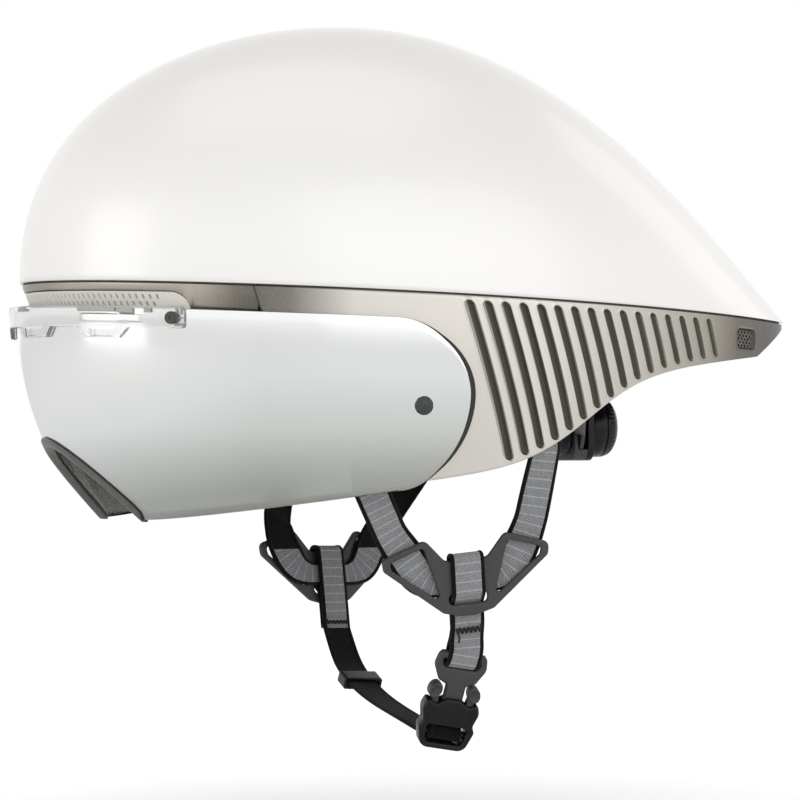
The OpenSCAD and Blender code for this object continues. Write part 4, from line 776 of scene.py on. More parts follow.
def mirror_coat(add):
    """Silver mirror coating on a smoked lens. Its colour is a painted reflection: bright near the
    brow and the nose, and greyer and greener low down. Low down the coat also thins, and the lens
    is clearer there."""
    place = add("SeparateXYZ", add("TexCoord").outputs["Object"]).outputs
    fall = add("MapRange", place["Z"], -0.105, -0.012)
    front = add("MapRange", place["X"], -0.06, -0.14, 0, 0.35)
    # Painted reflection: the colour brightens up the lens and towards the nose.
    tone = add("ValToRGB", add("Math", fall, front), stops=(
        (0, "B7B9B3"), (0.2, "C0C2BC"), (0.45, "DADDDA"), (0.75, "F2F5F4"), (1, "FCFDFC")))
    return add("BsdfPrincipled", tone, Metallic=add("MapRange", fall, 0.05, 0.5, 0.45, 0.97),
               Roughness=0.14, IOR=1.58, Transmission_Weight=1)


half = np.concatenate([
    np.linspace(0, CORNER, 50)[:-1], np.linspace(CORNER, END_ANGLE, 60)[:-1],
    END_ANGLE + END_ROUND * np.sin(np.linspace(0, np.radians(88), 22))])
a, v = np.meshgrid(np.concatenate([-half[:0:-1], half]), np.linspace(0, 1, 56), indexing="ij")
crest = lens_end(a, LENS_TOP)
h = crest + (lens_low(a) - crest) * v
outer = rolled(a, h, LENS_OUT, LENS_OUT, 0.5, 0.1, np.minimum(0.25, (h[:, -1] - h[:, 0]) * 0.1))
dressed(loft("visor_lens", np.concatenate([outer, low(a, h, LENS_IN)[:, ::-1]], 1)),
        finish("silver_mirror_polycarbonate", mirror_coat), "visor", "lens", "lens", sharp=45)


# Nose trim: a dark grey rubber channel pressed over the lens's edge all round the nose notch.
TRIM_W, TRIM_T, TRIM_PROUD = 2.6, 1.1, 1.1
NEARLY, NEIGHBOUR = CORNER - 0.0018, 0.0175
turns = np.linspace(-CORNER, CORNER, 121)
near = np.minimum(np.abs(turns), NEARLY)
h = lens_low(near)
rise = (lens_low(np.minimum(near + NEIGHBOUR, NEARLY))
        - lens_low(np.maximum(near - NEIGHBOUR, 0))) / (2 * NEIGHBOUR * HALF_W)
w = TRIM_W * np.sqrt(1 + rise * rise)
o, i = LENS_OUT - 0.2, LENS_IN + 0.2
shape = [(-w, o), (-w, o - 0.7), (-w + 0.5, o - TRIM_PROUD), (0, o - TRIM_PROUD),
         (0.8 * TRIM_T, o - 0.8), (TRIM_T, o), (TRIM_T, i), (0.8 * TRIM_T, i + 0.8),
         (0, i + TRIM_PROUD), (-w + 0.5, i + TRIM_PROUD), (-w, i + 0.7), (-w, i), (0.2, i),
         (0.2, o)]
# Moulded grey rubber: satin, with a fine mottle.
dressed(loft("nose_trim_channel", banded(turns, [(h + down, d) for down, d in shape])),
        mottled("grey_moulded_rubber", "4A4A48", "62625F", 350, 3, Roughness=0.42), "visor",
        "trim", "nose_trim", sharp=50)


# Lens shade crescents: a thin black strip behind each rear end of the lens, put there as painted
# shade where the lens meets the panel. It shows as a crescent past the end.
CRESCENT_LIP, CRESCENT_IN, CRESCENT_OUT, END_RADIUS, EDGE_RADIUS = 2.3, 0.1, -1.6, 175, 170
turn = np.radians(np.linspace(0, 180, 72))
upper = turn < np.pi / 2
lead = np.linspace(0.22, 0.004, 10)
line_a = np.concatenate([END_ANGLE - lead, END_ANGLE + END_ROUND * np.sin(turn),
                         END_ANGLE - lead[::-1]])
line_h = np.concatenate([
    0 * lead + LENS_TOP,
    END_DEPTH - np.where(upper, END_DEPTH - LENS_TOP, REAR_DEPTH - END_DEPTH) * np.cos(turn),
    lens_low(END_ANGLE - lead[::-1])])
aft = np.concatenate([0 * lead, np.sin(turn) ** np.where(upper, 1, 2), 0 * lead])
down = np.abs(np.gradient(line_h) / np.hypot(np.gradient(line_h),
                                             EDGE_RADIUS * np.gradient(line_a)))
inner_a = line_a - 0.013 * down
inner_h = line_h + 2 * np.where(line_h < END_DEPTH, 1, -1) * (1 - down)
outer_a = line_a + (0.2 + CRESCENT_LIP * aft) / END_RADIUS
rings = np.stack([low(a, h, d) for a, h, d in (
    (inner_a, inner_h, LENS_IN), (inner_a, inner_h, CRESCENT_IN), (outer_a, line_h, CRESCENT_IN),
    (outer_a, line_h, -1.3), (outer_a - 0.001, line_h, CRESCENT_OUT), (line_a, line_h, CRESCENT_OUT),
    (line_a, line_h, LENS_IN))], 1)
# Black rubber: matt, with a fine dusty mottle.
black_rubber = mottled("black_moulded_rubber", "1F1E1C", "35332F", 300, 3, Roughness=0.6)
# Each crescent is painted shade: a dark piece that stands in for the shade past the lens's rear
# end.
for side, sign in SIDES:
    dressed(loft(f"lens_shade_crescent_{side}", rings * (1, sign, 1)), black_rubber, "visor", "trim",
            sharp=50)


# Visor bridge: a clear moulded bar screwed to the lens's top edge. Its tabs are finger holds,
# and nickel bars inside it meet the shell's magnets.
BRIDGE_ANGLE, BRIDGE_TOP, BRIDGE_H, BRIDGE_IN, BRIDGE_T = np.radians(50), 10.7, 9, -2.9, 2
BRIDGE_OUT = BRIDGE_IN - BRIDGE_T
TABS, TAB_DROP, TAB_SLOPE = ((12.8, 7.3, 3.0), (33.5, 5.8, 2.4)), 4.4, 1.8
ROUND_ANGLE, ROUND = 0.012, 1.3


def clear_moulding(add):
    """Injection-moulded clear polycarbonate: glassy but a little milky, with the soft waviness
    of the mould's flow."""
    flow = add("TexNoise", Scale=90, Detail=1)
    return add("BsdfPrincipled", "FFFFFF", Roughness=0.03, IOR=1.5, Transmission_Weight=0.9,
               Normal=add("Bump", Strength=0.06, Distance=0.0005, Height=flow))


a, v = np.meshgrid(np.linspace(-BRIDGE_ANGLE, BRIDGE_ANGLE, 401), np.linspace(0, 1, 40),
                   indexing="ij")
b = np.degrees(np.abs(a))
u = np.clip((np.abs(a) - BRIDGE_ANGLE + ROUND_ANGLE) / ROUND_ANGLE, 0, 0.999)
corner = ROUND * (1 - np.sqrt(1 - u * u))
tab = np.maximum(*[np.clip((w - np.abs(b - c)) / TAB_SLOPE, 0, 1) for c, w, _ in TABS])
head = BRIDGE_TOP + corner
h = head + (BRIDGE_TOP + BRIDGE_H + TAB_DROP * tab - corner - head) * v
# A shallow window between the tabs and each tab's finger face are sunk into the bar.
pocket = step(b, 27.2, 28.6) * (1 - step(b, 41.5, 43)) * step(h, 14.0, 14.5) \
    * (1 - step(h, 17.3, 17.8))
grip = step(h, 20.1, 20.4) * (1 - step(
    np.minimum(*[np.abs(b - c) / w for c, _, w in TABS]), 0.8, 1))
face = rolled(a, h, BRIDGE_OUT + 0.6 * pocket + 0.3 * grip, BRIDGE_OUT, 0.4, 0.08, 0.15)
back = low(a[:, ::-3], h[:, ::-3], BRIDGE_IN)
dressed(loft("visor_bridge_bar", np.concatenate([face, back], 1)),
        finish("clear_moulded_polycarbonate", clear_moulding), "visor", "bridge",
        "visor_bridge", sharp=35)


def bent_box(a0, a1, h0, h1, d0, d1, c=0.15):
    """Bar that follows the wall from angle a0 to a1, between two depths and two insets, as rings
    of eight corners, chamfered by c."""
    return banded(np.linspace(a0, a1, 9), (
        (h0 + c, d0), (h1 - c, d0), (h1, d0 + c), (h1, d1 - c), (h1 - c, d1), (h0 + c, d1),
        (h0, d1 - c), (h0, d0 + c)))


def nickel_plate(add):
    """Nickel plating on steel: a warm grey metal with a faint drawn grain 0.2 mm apart."""
    drawn = add("Mapping", add("TexCoord").outputs["Object"], Scale=(1, 1, 8))
    tone = add("Mix", Factor=add("TexNoise", Vector=drawn, Scale=600, Detail=2), A="8E8C88",
               B="B9B6B0")
    return add("BsdfPrincipled", tone, Metallic=1, Roughness=0.34)


nickel = finish("nickel_plated_steel", nickel_plate)
# Each bar runs between two angles in degrees and two depths.
BARS = ((28.0, 36.6, 11.3, 13.3), (37.2, 40.4, 11.3, 13.6), (42.6, 43.9, 11.4, 13.4),
        (48.4, 48.75, 11.2, 14), (49.2, 49.5, 11.2, 14), (47.9, 49.6, 15.2, 15.7),
        (48.2, 49.6, 17.6, 18.8), (6, 10.5, 11.2, 13.0))
bars = [loft("bar", bent_box(*np.radians([sign * a0, sign * a1]), h0, h1, BRIDGE_IN - 1.35,
                             BRIDGE_IN - 0.75))
        for sign in (-1, 1) for a0, a1, h0, h1 in BARS]
dressed(joined("bridge_magnet_bars", bars), nickel, "visor", "magnet", sharp=30)


# Screws, caps and magnets: two dull steel socket screws hold the bridge, and two domed caps
# carry the stems that meet the panels' magnets.
def recoated(material, *names):
    """Gives CAD nodes that keep their shape a material of their own."""
    for name in names:
        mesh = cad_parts[name].data
        mesh.materials.clear()
        mesh.materials.append(material)


def softened(source, suffix, voxel, rounds, material, body, slot):
    """Dresses a rounded copy of a CAD node: voxel remesh, then its points drawn towards their
    neighbours, which rounds each edge as a mould does."""
    copy = clean(f"{source}_{suffix}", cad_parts[source].data.copy(), 1e-6)
    copy.data.materials.clear()
    applied(copy, "REMESH", mode="VOXEL", voxel_size=voxel / 1000)
    applied(copy, "SMOOTH", factor=0.5, iterations=rounds)
    copy.data.shade_smooth()
    dressed(copy, material, body, slot, source)


# Blackened steel, with pale rubbed specks. The caps are soft-touch slate nylon: satin,
# blue-grey, with a faint grain.
recoated(mottled("dull_socket_screw_steel", "3E3C3A", "6E6B67", 700, 3, Metallic=1,
                 Roughness=0.4),
         "bridge_screw_left", "bridge_screw_right", "pivot_pin_left", "pivot_pin_right")
recoated(nickel, "dock_magnet_left", "dock_magnet_right")
slate = mottled("slate_satin_nylon", "2F3335", "3D4245", 800, Roughness=0.3)
for side in ("left", "right"):
    softened(f"visor_cap_{side}", "button", 0.22, 6, slate, "visor", "cap")


# Side webbing: woven polyester straps that hang from anchors inside the side panels and pass
# behind each divider, gathered narrower at its foot.
NEAR_DIVIDER = (np.array([34, 71, -118.0]), 0, -6)
FAR_DIVIDER = (np.array([9, 68, -118.0]), 22, 1)
DIVIDERS = (("left", NEAR_DIVIDER, -1), ("right", FAR_DIVIDER, 1))
DIVIDER_LEAN, WEB_W, WEB_T, WEB_OFF = -9.5, 15, 1.4, 2.1
ANCHOR_UP, ANCHOR_IN, ARM_REACH, RAIL_Z, RAIL_END = 9.5, 7.5, 8.5, 18, (25.6, 8)
GATHERED = [15] * 5 + [17, 16, 11, 9.4, 9.4, 11, 16, 17] + [15] * 5


def turned(p, *turns):
    """Points turned about the axes one after the other, each turn an axis and degrees."""
    for axis, angle in turns:
        c, s = np.cos(np.radians(angle)), np.sin(np.radians(angle))
        i, j = (axis + 1) % 3, (axis + 2) % 3
        q = np.array(p, float)
        q[..., i], q[..., j] = p[..., i] * c - p[..., j] * s, p[..., i] * s + p[..., j] * c
        p = q
    return p


def on_divider(f, p):
    """Place given in the frame of divider f, which holds its middle and two turns: X to the tail
    along it, Y away from the head and Z up."""
    return f[0] + turned(np.asarray(p, float), (1, f[2]), (0, DIVIDER_LEAN), (2, f[1]))


def anchor(x):
    """Middle of the anchor at x and the wall's outward direction."""
    a = angle_at(np.float64(x))
    h = edge(x) - ANCHOR_UP
    return low(a, h, ANCHOR_IN), wall_axes(a, h)[3]


def softly(path, rounds=4):
    """Path with its corners cut by quarters, round after round."""
    for _ in range(rounds):
        cut = np.stack([path[:-1] * 0.75 + path[1:] * 0.25,
                        path[:-1] * 0.25 + path[1:] * 0.75], 1)
        path = np.concatenate([path[:1], np.concatenate(cut)[1:-1], path[-1:]])
    return path


def strap(name, path, across, width=WEB_W, sign=1, plain_under=None):
    """Webbing along a path: a cross-section with fuller edges, carried square to the path, of
    one width or one for each control point. It keeps length, place across and face as marks.
    With plain_under its faces change over, and both are plain below that level."""
    width = softly(np.broadcast_to(width, (1, len(path))).T.astype(float))
    path, across = (softly(np.asarray(p, float)) for p in (path, across))
    u = np.concatenate([[-1], np.linspace(-0.99, -0.72, 9), np.linspace(-0.6, 0.6, 9),
                        np.linspace(0.72, 0.99, 9), [1]])
    swell = 0.5 * WEB_T * (0.82 + 0.42 * step(np.abs(u), 0.74, 0.82)) \
        * np.sqrt(1 - np.clip((np.abs(u) - 0.88) / 0.12, 0, 0.99) ** 2)
    u, swell = np.append(u, u[::-1]), np.append(swell, -swell[::-1])
    rings = strip_rings(path, across, np.stack(np.broadcast_arrays(u * width / 2, swell), -1))
    run = np.append(0, np.cumsum(np.linalg.norm(np.diff(path, axis=0), axis=1)))
    face = np.sign(swell)
    if plain_under is not None:
        face = np.maximum(-face, np.clip((plain_under - rings[..., 2]) / 3, -1, 1))
    marks = np.stack(np.broadcast_arrays(run[:, None], u * WEB_W / 2, face), -1)
    return loft(name, rings * (1, sign, 1), marks=marks)


def side_path(f, front_arm, rear_arm):
    """Control points and width directions from the front anchor, behind the divider's rail and
    under its middle, to the rear anchor. Each arm gives its anchor's x, its slide along the
    panel's edge and its place over the rail."""
    out = on_divider(f, [0, 1, 0]) - f[0]

    def arm(x, slide, over):
        at, wall_out = anchor(x)
        rail = on_divider(f, [over, -WEB_OFF, RAIL_Z])
        way = at - rail
        way = unit(way - (way @ wall_out) * wall_out)
        leave = at - way * ARM_REACH + (slide, 0, 0)
        return ([at + way * 0.45, leave, *[leave + (rail - leave) * s for s in (0.15, 0.75)],
                 rail, on_divider(f, [np.sign(over) * RAIL_END[0], -WEB_OFF, RAIL_END[1]])],
                [wall_out] * 3 + [out] * 3)
    front, front_out = arm(*front_arm)
    rear, rear_out = arm(*rear_arm)
    middle = [on_divider(f, [x, -WEB_OFF, z]) for x, z in (
        (-20, -2), (-13, -5.4), (-5, -5.6), (5, -5.6), (13, -5.4), (20, -2))]
    path = np.array(front + middle + rear[::-1])
    outs = np.array(front_out + [out] * 6 + rear_out[::-1])
    way = np.concatenate([path[1:], path[-1:]]) - np.concatenate([path[:1], path[:-1]])
    return path, unit(np.cross(unit(way), outs))


def woven(plain, dark, ticks=4.0):
    """Weave of a strap. Warp ribs lie 0.8 mm apart with a broken twill across them, both drawn
    coarser than the real ones. The plain face is flecked and ticked across, and the bound edges
    and the other face are dark."""
    def build(add):
        mark = add("Attribute", attribute_name="along").outputs["Vector"]
        run, side, face = add("SeparateXYZ", mark).outputs

        def wave(value, pitch):
            """Sine of value over pitch millimetres."""
            turn = add("Math", value, 2 * np.pi / pitch, operation="MULTIPLY")
            return add("Math", turn, operation="SINE")
        twill = add("Math", run, side, operation="ADD")
        weave = add("Math", wave(side, 0.8), wave(twill, 1.1), operation="MULTIPLY")
        yarns = add("TexNoise", Vector=add("Mapping", mark, Scale=(0.35, 2.2, 1)), Scale=1.6,
                    Detail=4)
        fleck = add("Math", add("MapRange", yarns, 0.35, 0.68), 0.35, operation="MULTIPLY")
        dots = add("MapRange", weave, -0.6, 0.9, 0, 0.65)
        cloth = add("Mix", Factor=add("Math", fleck, dots), A=plain[0], B=plain[1])
        tick = add("Math", wave(run, ticks), 0.93, operation="GREATER_THAN")
        tick = add("Math", tick, 0.55, operation="MULTIPLY")
        lined = add("Mix", Factor=tick, A=cloth, B=plain[2])
        bound = add("Math", add("Math", side, operation="ABSOLUTE"), 5.75,
                    operation="GREATER_THAN")
        behind = add("Math", face, -0.2, operation="LESS_THAN")
        black = add("Math", bound, behind, operation="MAXIMUM")
        tone = add("Mix", Factor=black, A=lined, B=two_tone(add, *dark, 1100, 3)[1])
        return add("BsdfPrincipled", tone, Roughness=0.85, Specular_IOR_Level=0.15,
                   Sheen_Weight=0.08, Sheen_Roughness=0.45,
                   Normal=add("Bump", Strength=0.7, Distance=0.0003, Height=weave))
    return build


heather_web = finish("heather_woven_polyester", woven(("7E7F82", "BCBDC0", "DCDDDF"),
                                                      ("070708", "121213")))
ARMS = (((-14, -3.5, -31.7), (68, 3, 30.2)), ((-14, 3.5, -27.5), (68, 4, 33)))
for (side, f, sign), arms in zip(DIVIDERS, ARMS):
    web = strap(f"side_web_{side}_strap", *side_path(f, *arms), GATHERED, sign, f[0][2] + 6)
    dressed(web, heather_web, "helmet", "web", f"side_web_{side}")
for side in ("left", "right"):
    softened(f"web_anchors_{side}", "blocks", 0.35, 4, black_rubber, "helmet", "black_plastic")


# Dividers: open moulded nylon triangles, dark grey, that spread the two side straps and guide
# the chin strap through a slot.
DIVIDER_T = 2.4


def grained_nylon(add):
    """Moulded nylon with a spark-eroded grain half a millimetre across: dark grey, satin, paler
    on its high spots."""
    grain, tone = two_tone(add, "323334", "48494A", 1500, 2)
    return add("BsdfPrincipled", tone, Roughness=0.48,
               Normal=add("Bump", Strength=0.25, Distance=0.0002, Height=grain))


def rounded(corners):
    """Closed outline from corners given as x, y and radius: an arc that touches both sides takes
    each corner's place."""
    arcs = []
    c = np.array(corners, float)
    s = np.linspace(0, 1, 9)[:, None]
    for before, at, after in zip(np.roll(c, 1, 0), c, np.roll(c, -1, 0)):
        back, on = unit(before[:2] - at[:2]), unit(after[:2] - at[:2])
        half = np.arccos(back @ on) / 2
        hub = at[:2] + unit(back + on) * at[2] / np.sin(half)
        first, last = (at[:2] + way * at[2] / np.tan(half) - hub for way in (back, on))
        arcs.append(hub + unit(first * (1 - s) + last * s) * at[2])
    return np.concatenate(arcs)


def both_ways(half):
    """Corners of a whole outline from those of its right half."""
    return half + [(-x, y, r) for x, y, r in half[::-1]]


def moulded(name, outlines, thick, edge, place):
    """Plate of one outline with holes, its edges rounded by edge: a filled flat curve, extruded
    and bevelled, made a mesh and set by place."""
    flat = bpy.data.curves.new(name, "CURVE")
    flat.dimensions, flat.fill_mode = "2D", "BOTH"
    flat.extrude, flat.offset = thick / 2 - edge, -edge
    flat.bevel_depth, flat.bevel_resolution = edge, 4
    for line in outlines:
        spline = flat.splines.new("POLY")
        spline.points.add(len(line) - 1)
        spline.points.foreach_set("co", np.c_[line, np.zeros(len(line)),
                                              np.ones(len(line))].ravel())
        spline.use_cyclic_u = True
    drawn = bpy.data.objects.new(name, flat)
    mesh = bpy.data.meshes.new_from_object(drawn)
    bpy.data.objects.remove(drawn)
    points = np.empty(len(mesh.vertices) * 3, np.float32)
    mesh.vertices.foreach_get("co", points)
    made = mesh_of(name, place(points.reshape(-1, 3)[:, [0, 2, 1]]),
                   [list(face.vertices) for face in mesh.polygons])
    made.data.set_sharp_from_angle(angle=np.radians(45))
    return made


nylon = finish("grained_grey_nylon", grained_nylon)
rail = rounded(both_ways([(9.4, 5.2, 3.5), (17.8, 15.2, 3.2), (37.2, 8.7, 2.8), (36.6, 3.4, 2.8),
                          (11.2, -17.4, 4.5), (3.5, -19.3, 8)]))
window = rounded([(18.8, 12.2, 1.7), (33.8, 6.9, 1.5), (33.0, 3.7, 1.4), (14.2, -10.6, 1.0),
                  (12.4, -9.6, 0.9)])
web_slot = rounded([(8.6, -9.4, 2), (-8.6, -9.4, 2), (-8.6, -14.2, 2), (8.6, -14.2, 2)])
for side, f, sign in DIVIDERS:
    divider = moulded(f"divider_{side}_triangle", [rail, window, window * (-1, 1), web_slot],
                      DIVIDER_T, 0.75, lambda p: on_divider(f, p) * (1, sign, 1))
    dressed(divider, nylon, "helmet", "divider", f"divider_{side}")


# Chin webbing: one strap each side folds over its divider's middle. The left one carries the
# buckle's plug, sewn to itself with a zigzag in bonded black nylon thread.
BUCKLE_AT, BUCKLE_TURNS = np.array([33.4, 48, -178]), ((0, -18.7), (1, 9.4))
RING_BAR, RING_TOP, WRAP_SLACK, BAR_GAP = 1.9, 26.2, 1.6, 0.3


def on_buckle(p):
    """Place given in the buckle's frame, leaned and rolled."""
    return BUCKLE_AT + turned(np.asarray(p, float), *BUCKLE_TURNS)


def divider_fold(f, start, stop=-25.5):
    """Path of a chin strap through its divider, as places outward and up: up the front, over the
    middle and down behind the side straps."""
    path = [(-WEB_OFF, start), (-WEB_OFF, -16.3), (-WEB_OFF, -13.9), (2.1, -9.9), (2.1, -7.5),
            (2.1, 4.3), (1.89, 6.5), (0, 7.5), (-3.12, 6.7), (-3.9, 3.9), (-3.9, stop)]
    return [on_divider(f, [0, n, v]) for n, v in path]


f = NEAR_DIVIDER
bar = on_buckle([0, 0, RING_TOP - RING_BAR])
rise = on_divider(f, [0, -3, -25.5]) - bar
length = np.linalg.norm(rise)
rise = unit(rise)
wide, out = (on_divider(f, v) - f[0] for v in np.eye(3)[:2])
out = unit(out - (out @ rise) * rise)
bar_wide, bar_out, bar_up = (on_buckle(v) - BUCKLE_AT for v in np.eye(3))
q = RING_BAR + BAR_GAP + WEB_T / 2
turn = np.radians(np.arange(180, 361, 30))
wrap = [bar + bar_out * y + bar_up * z for y, z in (
    (-q, 4), *zip(q * np.cos(turn), q * np.sin(turn) * WRAP_SLACK), (q, 4))]
close = [bar + out * y + rise * z for y, z in (
    (-0.9, length - 0.5), (-0.9, length - 5), (0.9, length - 5))]
upper = divider_fold(f, -23.5)
sides = [wide] * 2 + [bar_wide] * len(wrap) + [wide] * (1 + len(upper))
dressed(strap("chin_web_left_strap", close[:2] + wrap + close[2:] + upper, sides, sign=-1),
        heather_web, "helmet", "web", "chin_web_left")

f = FAR_DIVIDER
far_wide = on_divider(f, [1, 0, 0]) - f[0]
path = [on_divider(f, [0, -WEB_OFF, -30.5])] + divider_fold(f, -25.5, -30.8)
dressed(strap("chin_loop_right_strap", path, [far_wide] * len(path)), heather_web, "helmet",
        "web", "chin_loop_right")

# Bonded nylon thread: black, with two plies to the millimetre.
thread = mottled("bonded_black_nylon_thread", "0B0B0C", "222223", 2000, Roughness=0.7)
ZIGS, ZIG_HALF_W, THREAD_R = 13, 5.8, 0.45
ZIGZAGS = ((-1.25, -26.2, 2.1), (-4.75, -28.2, 1.2))
for (side, f, sign), (face_at, row, tall) in zip(DIVIDERS, ZIGZAGS):
    spots = np.stack([np.linspace(-ZIG_HALF_W, ZIG_HALF_W, ZIGS), np.full(ZIGS, face_at),
                      row + tall * (-1) ** np.arange(ZIGS)], -1)
    if side == "left":
        spots = np.vstack([(-4.8, face_at, row - 5), (-4.1, face_at, row - 3), spots])
    path = softly(on_divider(f, spots), 2)
    out = np.repeat((on_divider(f, [0, 1, 0]) - f[0])[None], len(path), 0)
    dressed(loft(f"stitching_{side}", strip_rings(path, out, circle(6, THREAD_R)) * (1, sign, 1)),
            thread, "helmet", "web")


# Right chin strap: plain black webbing from the far divider, through its keeper and under the
# chin, to the bar of the buckle's socket. The keeper and the socket are black moulded acetal.
CROSS_R, CROSS_Z = 1.6, -11.35
KEEPER_AT, KEEPER_WAY = np.array([16.9, 38, -170.5]), unit(np.array([6.3, -45, -19.2]))
FLIP = np.array([1, -1, 1])
HANG, REACH = np.array([14.5, 55, -160.5]), np.array([23.7, -20, -183.9])


def black_satin(add):
    """Moulded acetal: black, glossy with a soft edge to its highlights, and a trace of handling
    scratches."""
    rubbed, tone = two_tone(add, "0C0C0D", "171718", 260, 4)
    return add("BsdfPrincipled", tone, Specular_IOR_Level=0.3,
               Roughness=add("MapRange", rubbed, To_Min=0.2, To_Max=0.34))


q = CROSS_R + BAR_GAP + WEB_T / 2
turn = np.radians(np.arange(-110, 115, 28))
wrap = [(-7, -q * 1.15), (-3, -q), *zip(q * np.cos(turn), q * np.sin(turn)), (-3, q),
        (-7, q * 0.55)]
path = [on_divider(FAR_DIVIDER, [0, -3, -28.6]), HANG, KEEPER_AT - 9 * KEEPER_WAY,
        KEEPER_AT + 9 * KEEPER_WAY, [20.8, 10, -179.2], REACH]
path += [FLIP * on_buckle([min(y, 0) * 0.3, y, CROSS_Z + z]) for y, z in wrap]
shares = [0, 0.2, 0.4, 0.4] + [min((i - 1) / 5, 1) for i in range(4, len(path))]
sides = [unit(far_wide * (1 - s) + bar_wide * FLIP * s) for s in shares]
strap_right = strap("chin_web_right_strap", path, sides)
strap_right.data.materials.append(finish("black_woven_polyester", woven(
    ("070708", "131314", "161617"), ("060607", "101011"))))
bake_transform(strap_right)
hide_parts("chin_web_right")
acetal = finish("black_moulded_acetal", black_satin)
softened("web_keeper", "slider", 0.3, 5, acetal, "helmet", "black_plastic")


# Buckle: a side-release buckle in moulded acetal. The plug is a grey ring with two springy
# prongs, which click into the glossy black socket.
SOCKET_W, SOCKET_T, SOCKET_WALL, SOCKET_TOP, SOCKET_H = 25, 8, 1.6, 4.5, 11
NECK, RING_LOW, RING_T = 4.5, 12.5, 3.4
PRONG_ROOT, PRONG_OUT, ARM_HALF_W, ARM_T = np.array([7, -2.2]), 8.9, 1.5, 4.2
PAD_Z, PAD_HALF_W, PAD_HALF_H = 8.1, 2.8, 3.6
# The finger pad's profile, as shares of its outline and heights: domed, with a dish in the middle.
PAD_PROFILE = ((0.5, -3.0), (0.82, -3.0), (0.95, -2.75), (1, -2.2), (1, 0), (1, 2.2),
               (0.95, 2.75), (0.85, 3.0), (0.74, 2.9), (0.6, 2.3), (0.35, 1.9), (0.1, 1.8))


def by_buckle(p):
    """Place in the buckle's frame, carried to the wearer's left."""
    return on_buckle(p) * (1, -1, 1)


def cross_bar(name, radius, half, z):
    """Round bar across the buckle at level z."""
    ring = np.insert(circle(40), 0, 0, axis=1) * radius
    return loft(name, by_buckle(np.array([ring + (x, 0, z) for x in (-half, half)])))


ring = rounded(both_ways([(NECK, -3.1, 0.4), (NECK, 10.9, 1.2), (8.4, RING_LOW + 0.2, 2.2),
                          (11.9, 19.5, 4.5), (10.7, RING_TOP, 3)]))
eyelet = rounded(both_ways([(7.4, 18.9, 2.0), (8.4, 22.6, 0.8)]))
plug = joined("buckle_plug_ring", [
    moulded("plug_plate", [ring, eyelet], RING_T, 1.45, by_buckle),
    cross_bar("plug_bar", RING_BAR, 9.6, RING_TOP - RING_BAR)])
dressed(plug, nylon, "helmet", "divider", "buckle_plug")
for end, way in (("front", -1), ("rear", 1)):
    x, z = circle(40).T
    pad = np.stack([way * (PRONG_OUT - 0.2 + PAD_HALF_W * x - 0.5 * z), PAD_Z + PAD_HALF_H * z],
                   -1)
    hub = pad.mean(0)
    button = loft(f"pad_{end}", by_buckle(np.array([
        np.insert(hub + (pad - hub) * share, 1, y, axis=1) for share, y in PAD_PROFILE])))
    root = PRONG_ROOT * (way, 1)
    head = np.array([way * (PRONG_OUT - 0.6), SOCKET_TOP + 1])
    side_way = unit(head - root)[::-1] * (1, -1) * ARM_HALF_W
    arm = moulded(f"arm_{end}", [rounded([
        (*(root - side_way - (0, 1.2)), 1.2), (*(root + side_way - (0, 1.2)), 1.2),
        (*(head + side_way + (0, 1)), 0.8), (*(head - side_way + (0, 1)), 0.8)])],
        ARM_T, 0.4, by_buckle)
    dressed(joined(f"prong_{end}_pad", [button, arm]), nylon, f"prong_{end}", "divider",
            f"prong_{end}")

case = rounded(both_ways([(3.2, 5.3, 1.6), (7.0, 2.6, 1.8), (11.4, 4.3, 1.3), (12.9, 0, 5),
                          (11.3, -5.8, 2.2), (12.7, -8.8, 2.4), (10.0, -18, 4.6)])[::-1])
sill = rounded(both_ways([(9.1, -7.4, 1.2), (8.3, -15.2, 2.0)]))
socket = moulded("buckle_socket_body", [case, sill], SOCKET_T, 1.5, by_buckle)
reach, deep = SOCKET_W / 2 - SOCKET_WALL, SOCKET_T / 2 - SOCKET_WALL
corners = np.array([(x, y, z) for x in (-reach, reach) for y in (-deep, deep)
                    for z in (SOCKET_TOP - SOCKET_H + 1.2, 9)])
core = mesh_of("core", by_buckle(corners), [(0, 1, 3, 2), (4, 6, 7, 5), (0, 4, 5, 1),
                                            (2, 3, 7, 6), (0, 2, 6, 4), (1, 5, 7, 3)])
applied(socket, "BOOLEAN", object=core, solver="EXACT")
bpy.data.objects.remove(core)
socket = joined("buckle_socket_body", [socket, cross_bar("socket_bar", CROSS_R, 9.4, CROSS_Z)])
dressed(socket, acetal, "socket", "black_plastic", "buckle_socket", sharp=40)


# Fit cradle: nylon belts swing on steel pins at the temples. Each ends in a rack, and a pinion
# between the racks draws both in. A pad lies on the housing's front.
DIAL_X, DIAL_Z, RACK_X, PIVOT_X, PIVOT_Z, EYE_R = 111, -56, 101, -25, -36, 6.5
EYE_Y = CAVITY_HALF_W * np.sqrt(1 - ((CAVITY_X - PIVOT_X + EYE_R) / CAVITY_FRONT) ** 2) - 3.5
BELT_HALF_W, BELT_START, BELT_END_Y = 4.5, 5.8, 28.2
NAPE_HALF_W, NAPE_HALF_H, NAPE_X = 23.04, 14, RACK_X - 2.5


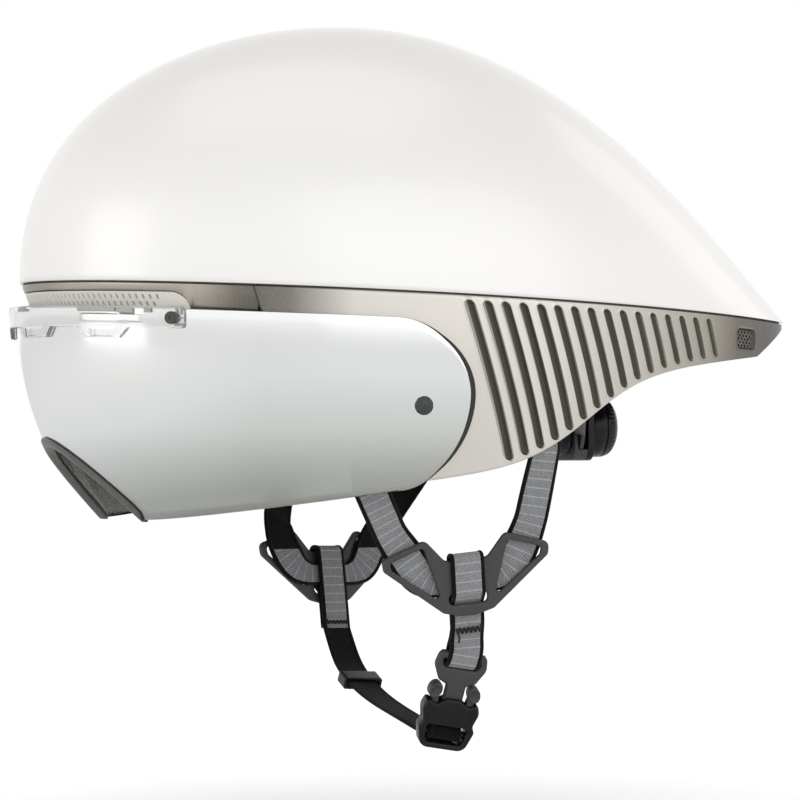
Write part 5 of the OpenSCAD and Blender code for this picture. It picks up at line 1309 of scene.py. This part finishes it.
def belt_rings(x_end, n=80):
    """Rings of a belt that follows an ellipse from its pivot's eye to the end of its rack. A rib
    along each edge fades before the housing."""
    start = np.arcsin(BELT_END_Y / EYE_Y)
    reach = (x_end - PIVOT_X) / np.cos(start)
    first = np.arcsin(BELT_START / reach) / (np.pi / 2 - start)
    s = np.linspace(first, 1, n)
    a = np.pi / 2 - s * (np.pi / 2 - start)
    path = np.stack([PIVOT_X + reach * np.cos(a), EYE_Y * np.sin(a),
                     PIVOT_Z + (DIAL_Z - PIVOT_Z) * s], -1)
    u = np.linspace(-1, 1, 15)
    rib = 0.5 + (0.2 + 0.3 * step(np.abs(u), 0.55, 0.8)) * (1 - step(s, 0.6, 0.75))[:, None]
    rib[:, [0, -1]] *= 0.5
    u = u * BELT_HALF_W + 0 * rib
    outline = np.concatenate([np.stack([u, rib], -1), np.stack([u, -rib], -1)[:, ::-1]], 1)
    return strip_rings(path, np.repeat([[0, 0, 1.0]], n, 0), outline)


def nape_spot(u, v, d):
    """Place on the housing's front, the ends rounded by (1 - u^6) to the power 0.4."""
    h = NAPE_HALF_H * v * (1 - np.abs(u * 0.97) ** 6) ** 0.4
    return np.stack([NAPE_X - (d - PAD_GAP), -NAPE_HALF_W * u, DIAL_Z + h], -1)


for side, sign, shift in (("right", 1, 1.9), ("left", -1, 0)):
    belt = loft(f"belt_{side}_band", belt_rings(RACK_X + 0.8 + shift) * (1, sign, 1))
    belt.data.set_sharp_from_angle(angle=np.radians(40))
    belt.data.materials.append(acetal)
    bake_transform(belt)
    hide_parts(f"belt_{side}")
    softened(f"pivot_eye_{side}", "boss", 0.25, 3, acetal, "cradle", "black_plastic")
recoated(acetal, "dial_pinion")
recoated(nylon, "rack_left", "rack_right")
softened("cradle_housing", "case", 0.35, 4, nylon, "cradle", "divider")
softened("housing_cover", "plate", 0.35, 5, acetal, "cradle", "black_plastic")
nape = stuffed(loft("nape_pad_cushion", pad_rings(nape_spot, 30, 18)), 0.0006)
dressed(nape, jersey, "cradle", "pad", "nape_pad")


# Fit dial: a turned and fluted knob in glossy black, domed, with a ridged grip and a shallow
# ring round its face. Its profile is given as places along the axle and radii.
DIAL_PROFILE = np.array([
    (0, 12.2), (0, 12.7), (0.5, 13.1), (1.6, 13.3), (4.5, 13.4), (6.6, 13.35), (7.0, 12.9),
    (7.3, 12.9), (7.6, 13.3), (8.4, 13.2), (9.6, 12.8), (10.6, 12.3), (11.4, 11.7), (12.3, 10.5),
    (13.0, 9.3), (13.25, 8.7), (13.15, 8.3), (13.35, 7.9), (13.55, 5), (13.6, 2)])
FLUTES, FLUTE_DEEP = 36, 0.4
turn = np.linspace(0, 2 * np.pi, 384, endpoint=False)
flute = FLUTE_DEEP * (0.5 + 0.5 * np.cos(FLUTES * turn)) ** 2
x, r = DIAL_PROFILE.T[..., None]
r = r - flute * step(x, 8.2, 9.4) * (1 - step(x, 10.6, 12.6))
dressed(loft("fit_dial_knob", np.stack([DIAL_X + x + 0 * r, r * np.cos(turn),
                                        DIAL_Z + r * np.sin(turn)], -1)),
        acetal, "dial", "dial", "fit_dial", sharp=50)
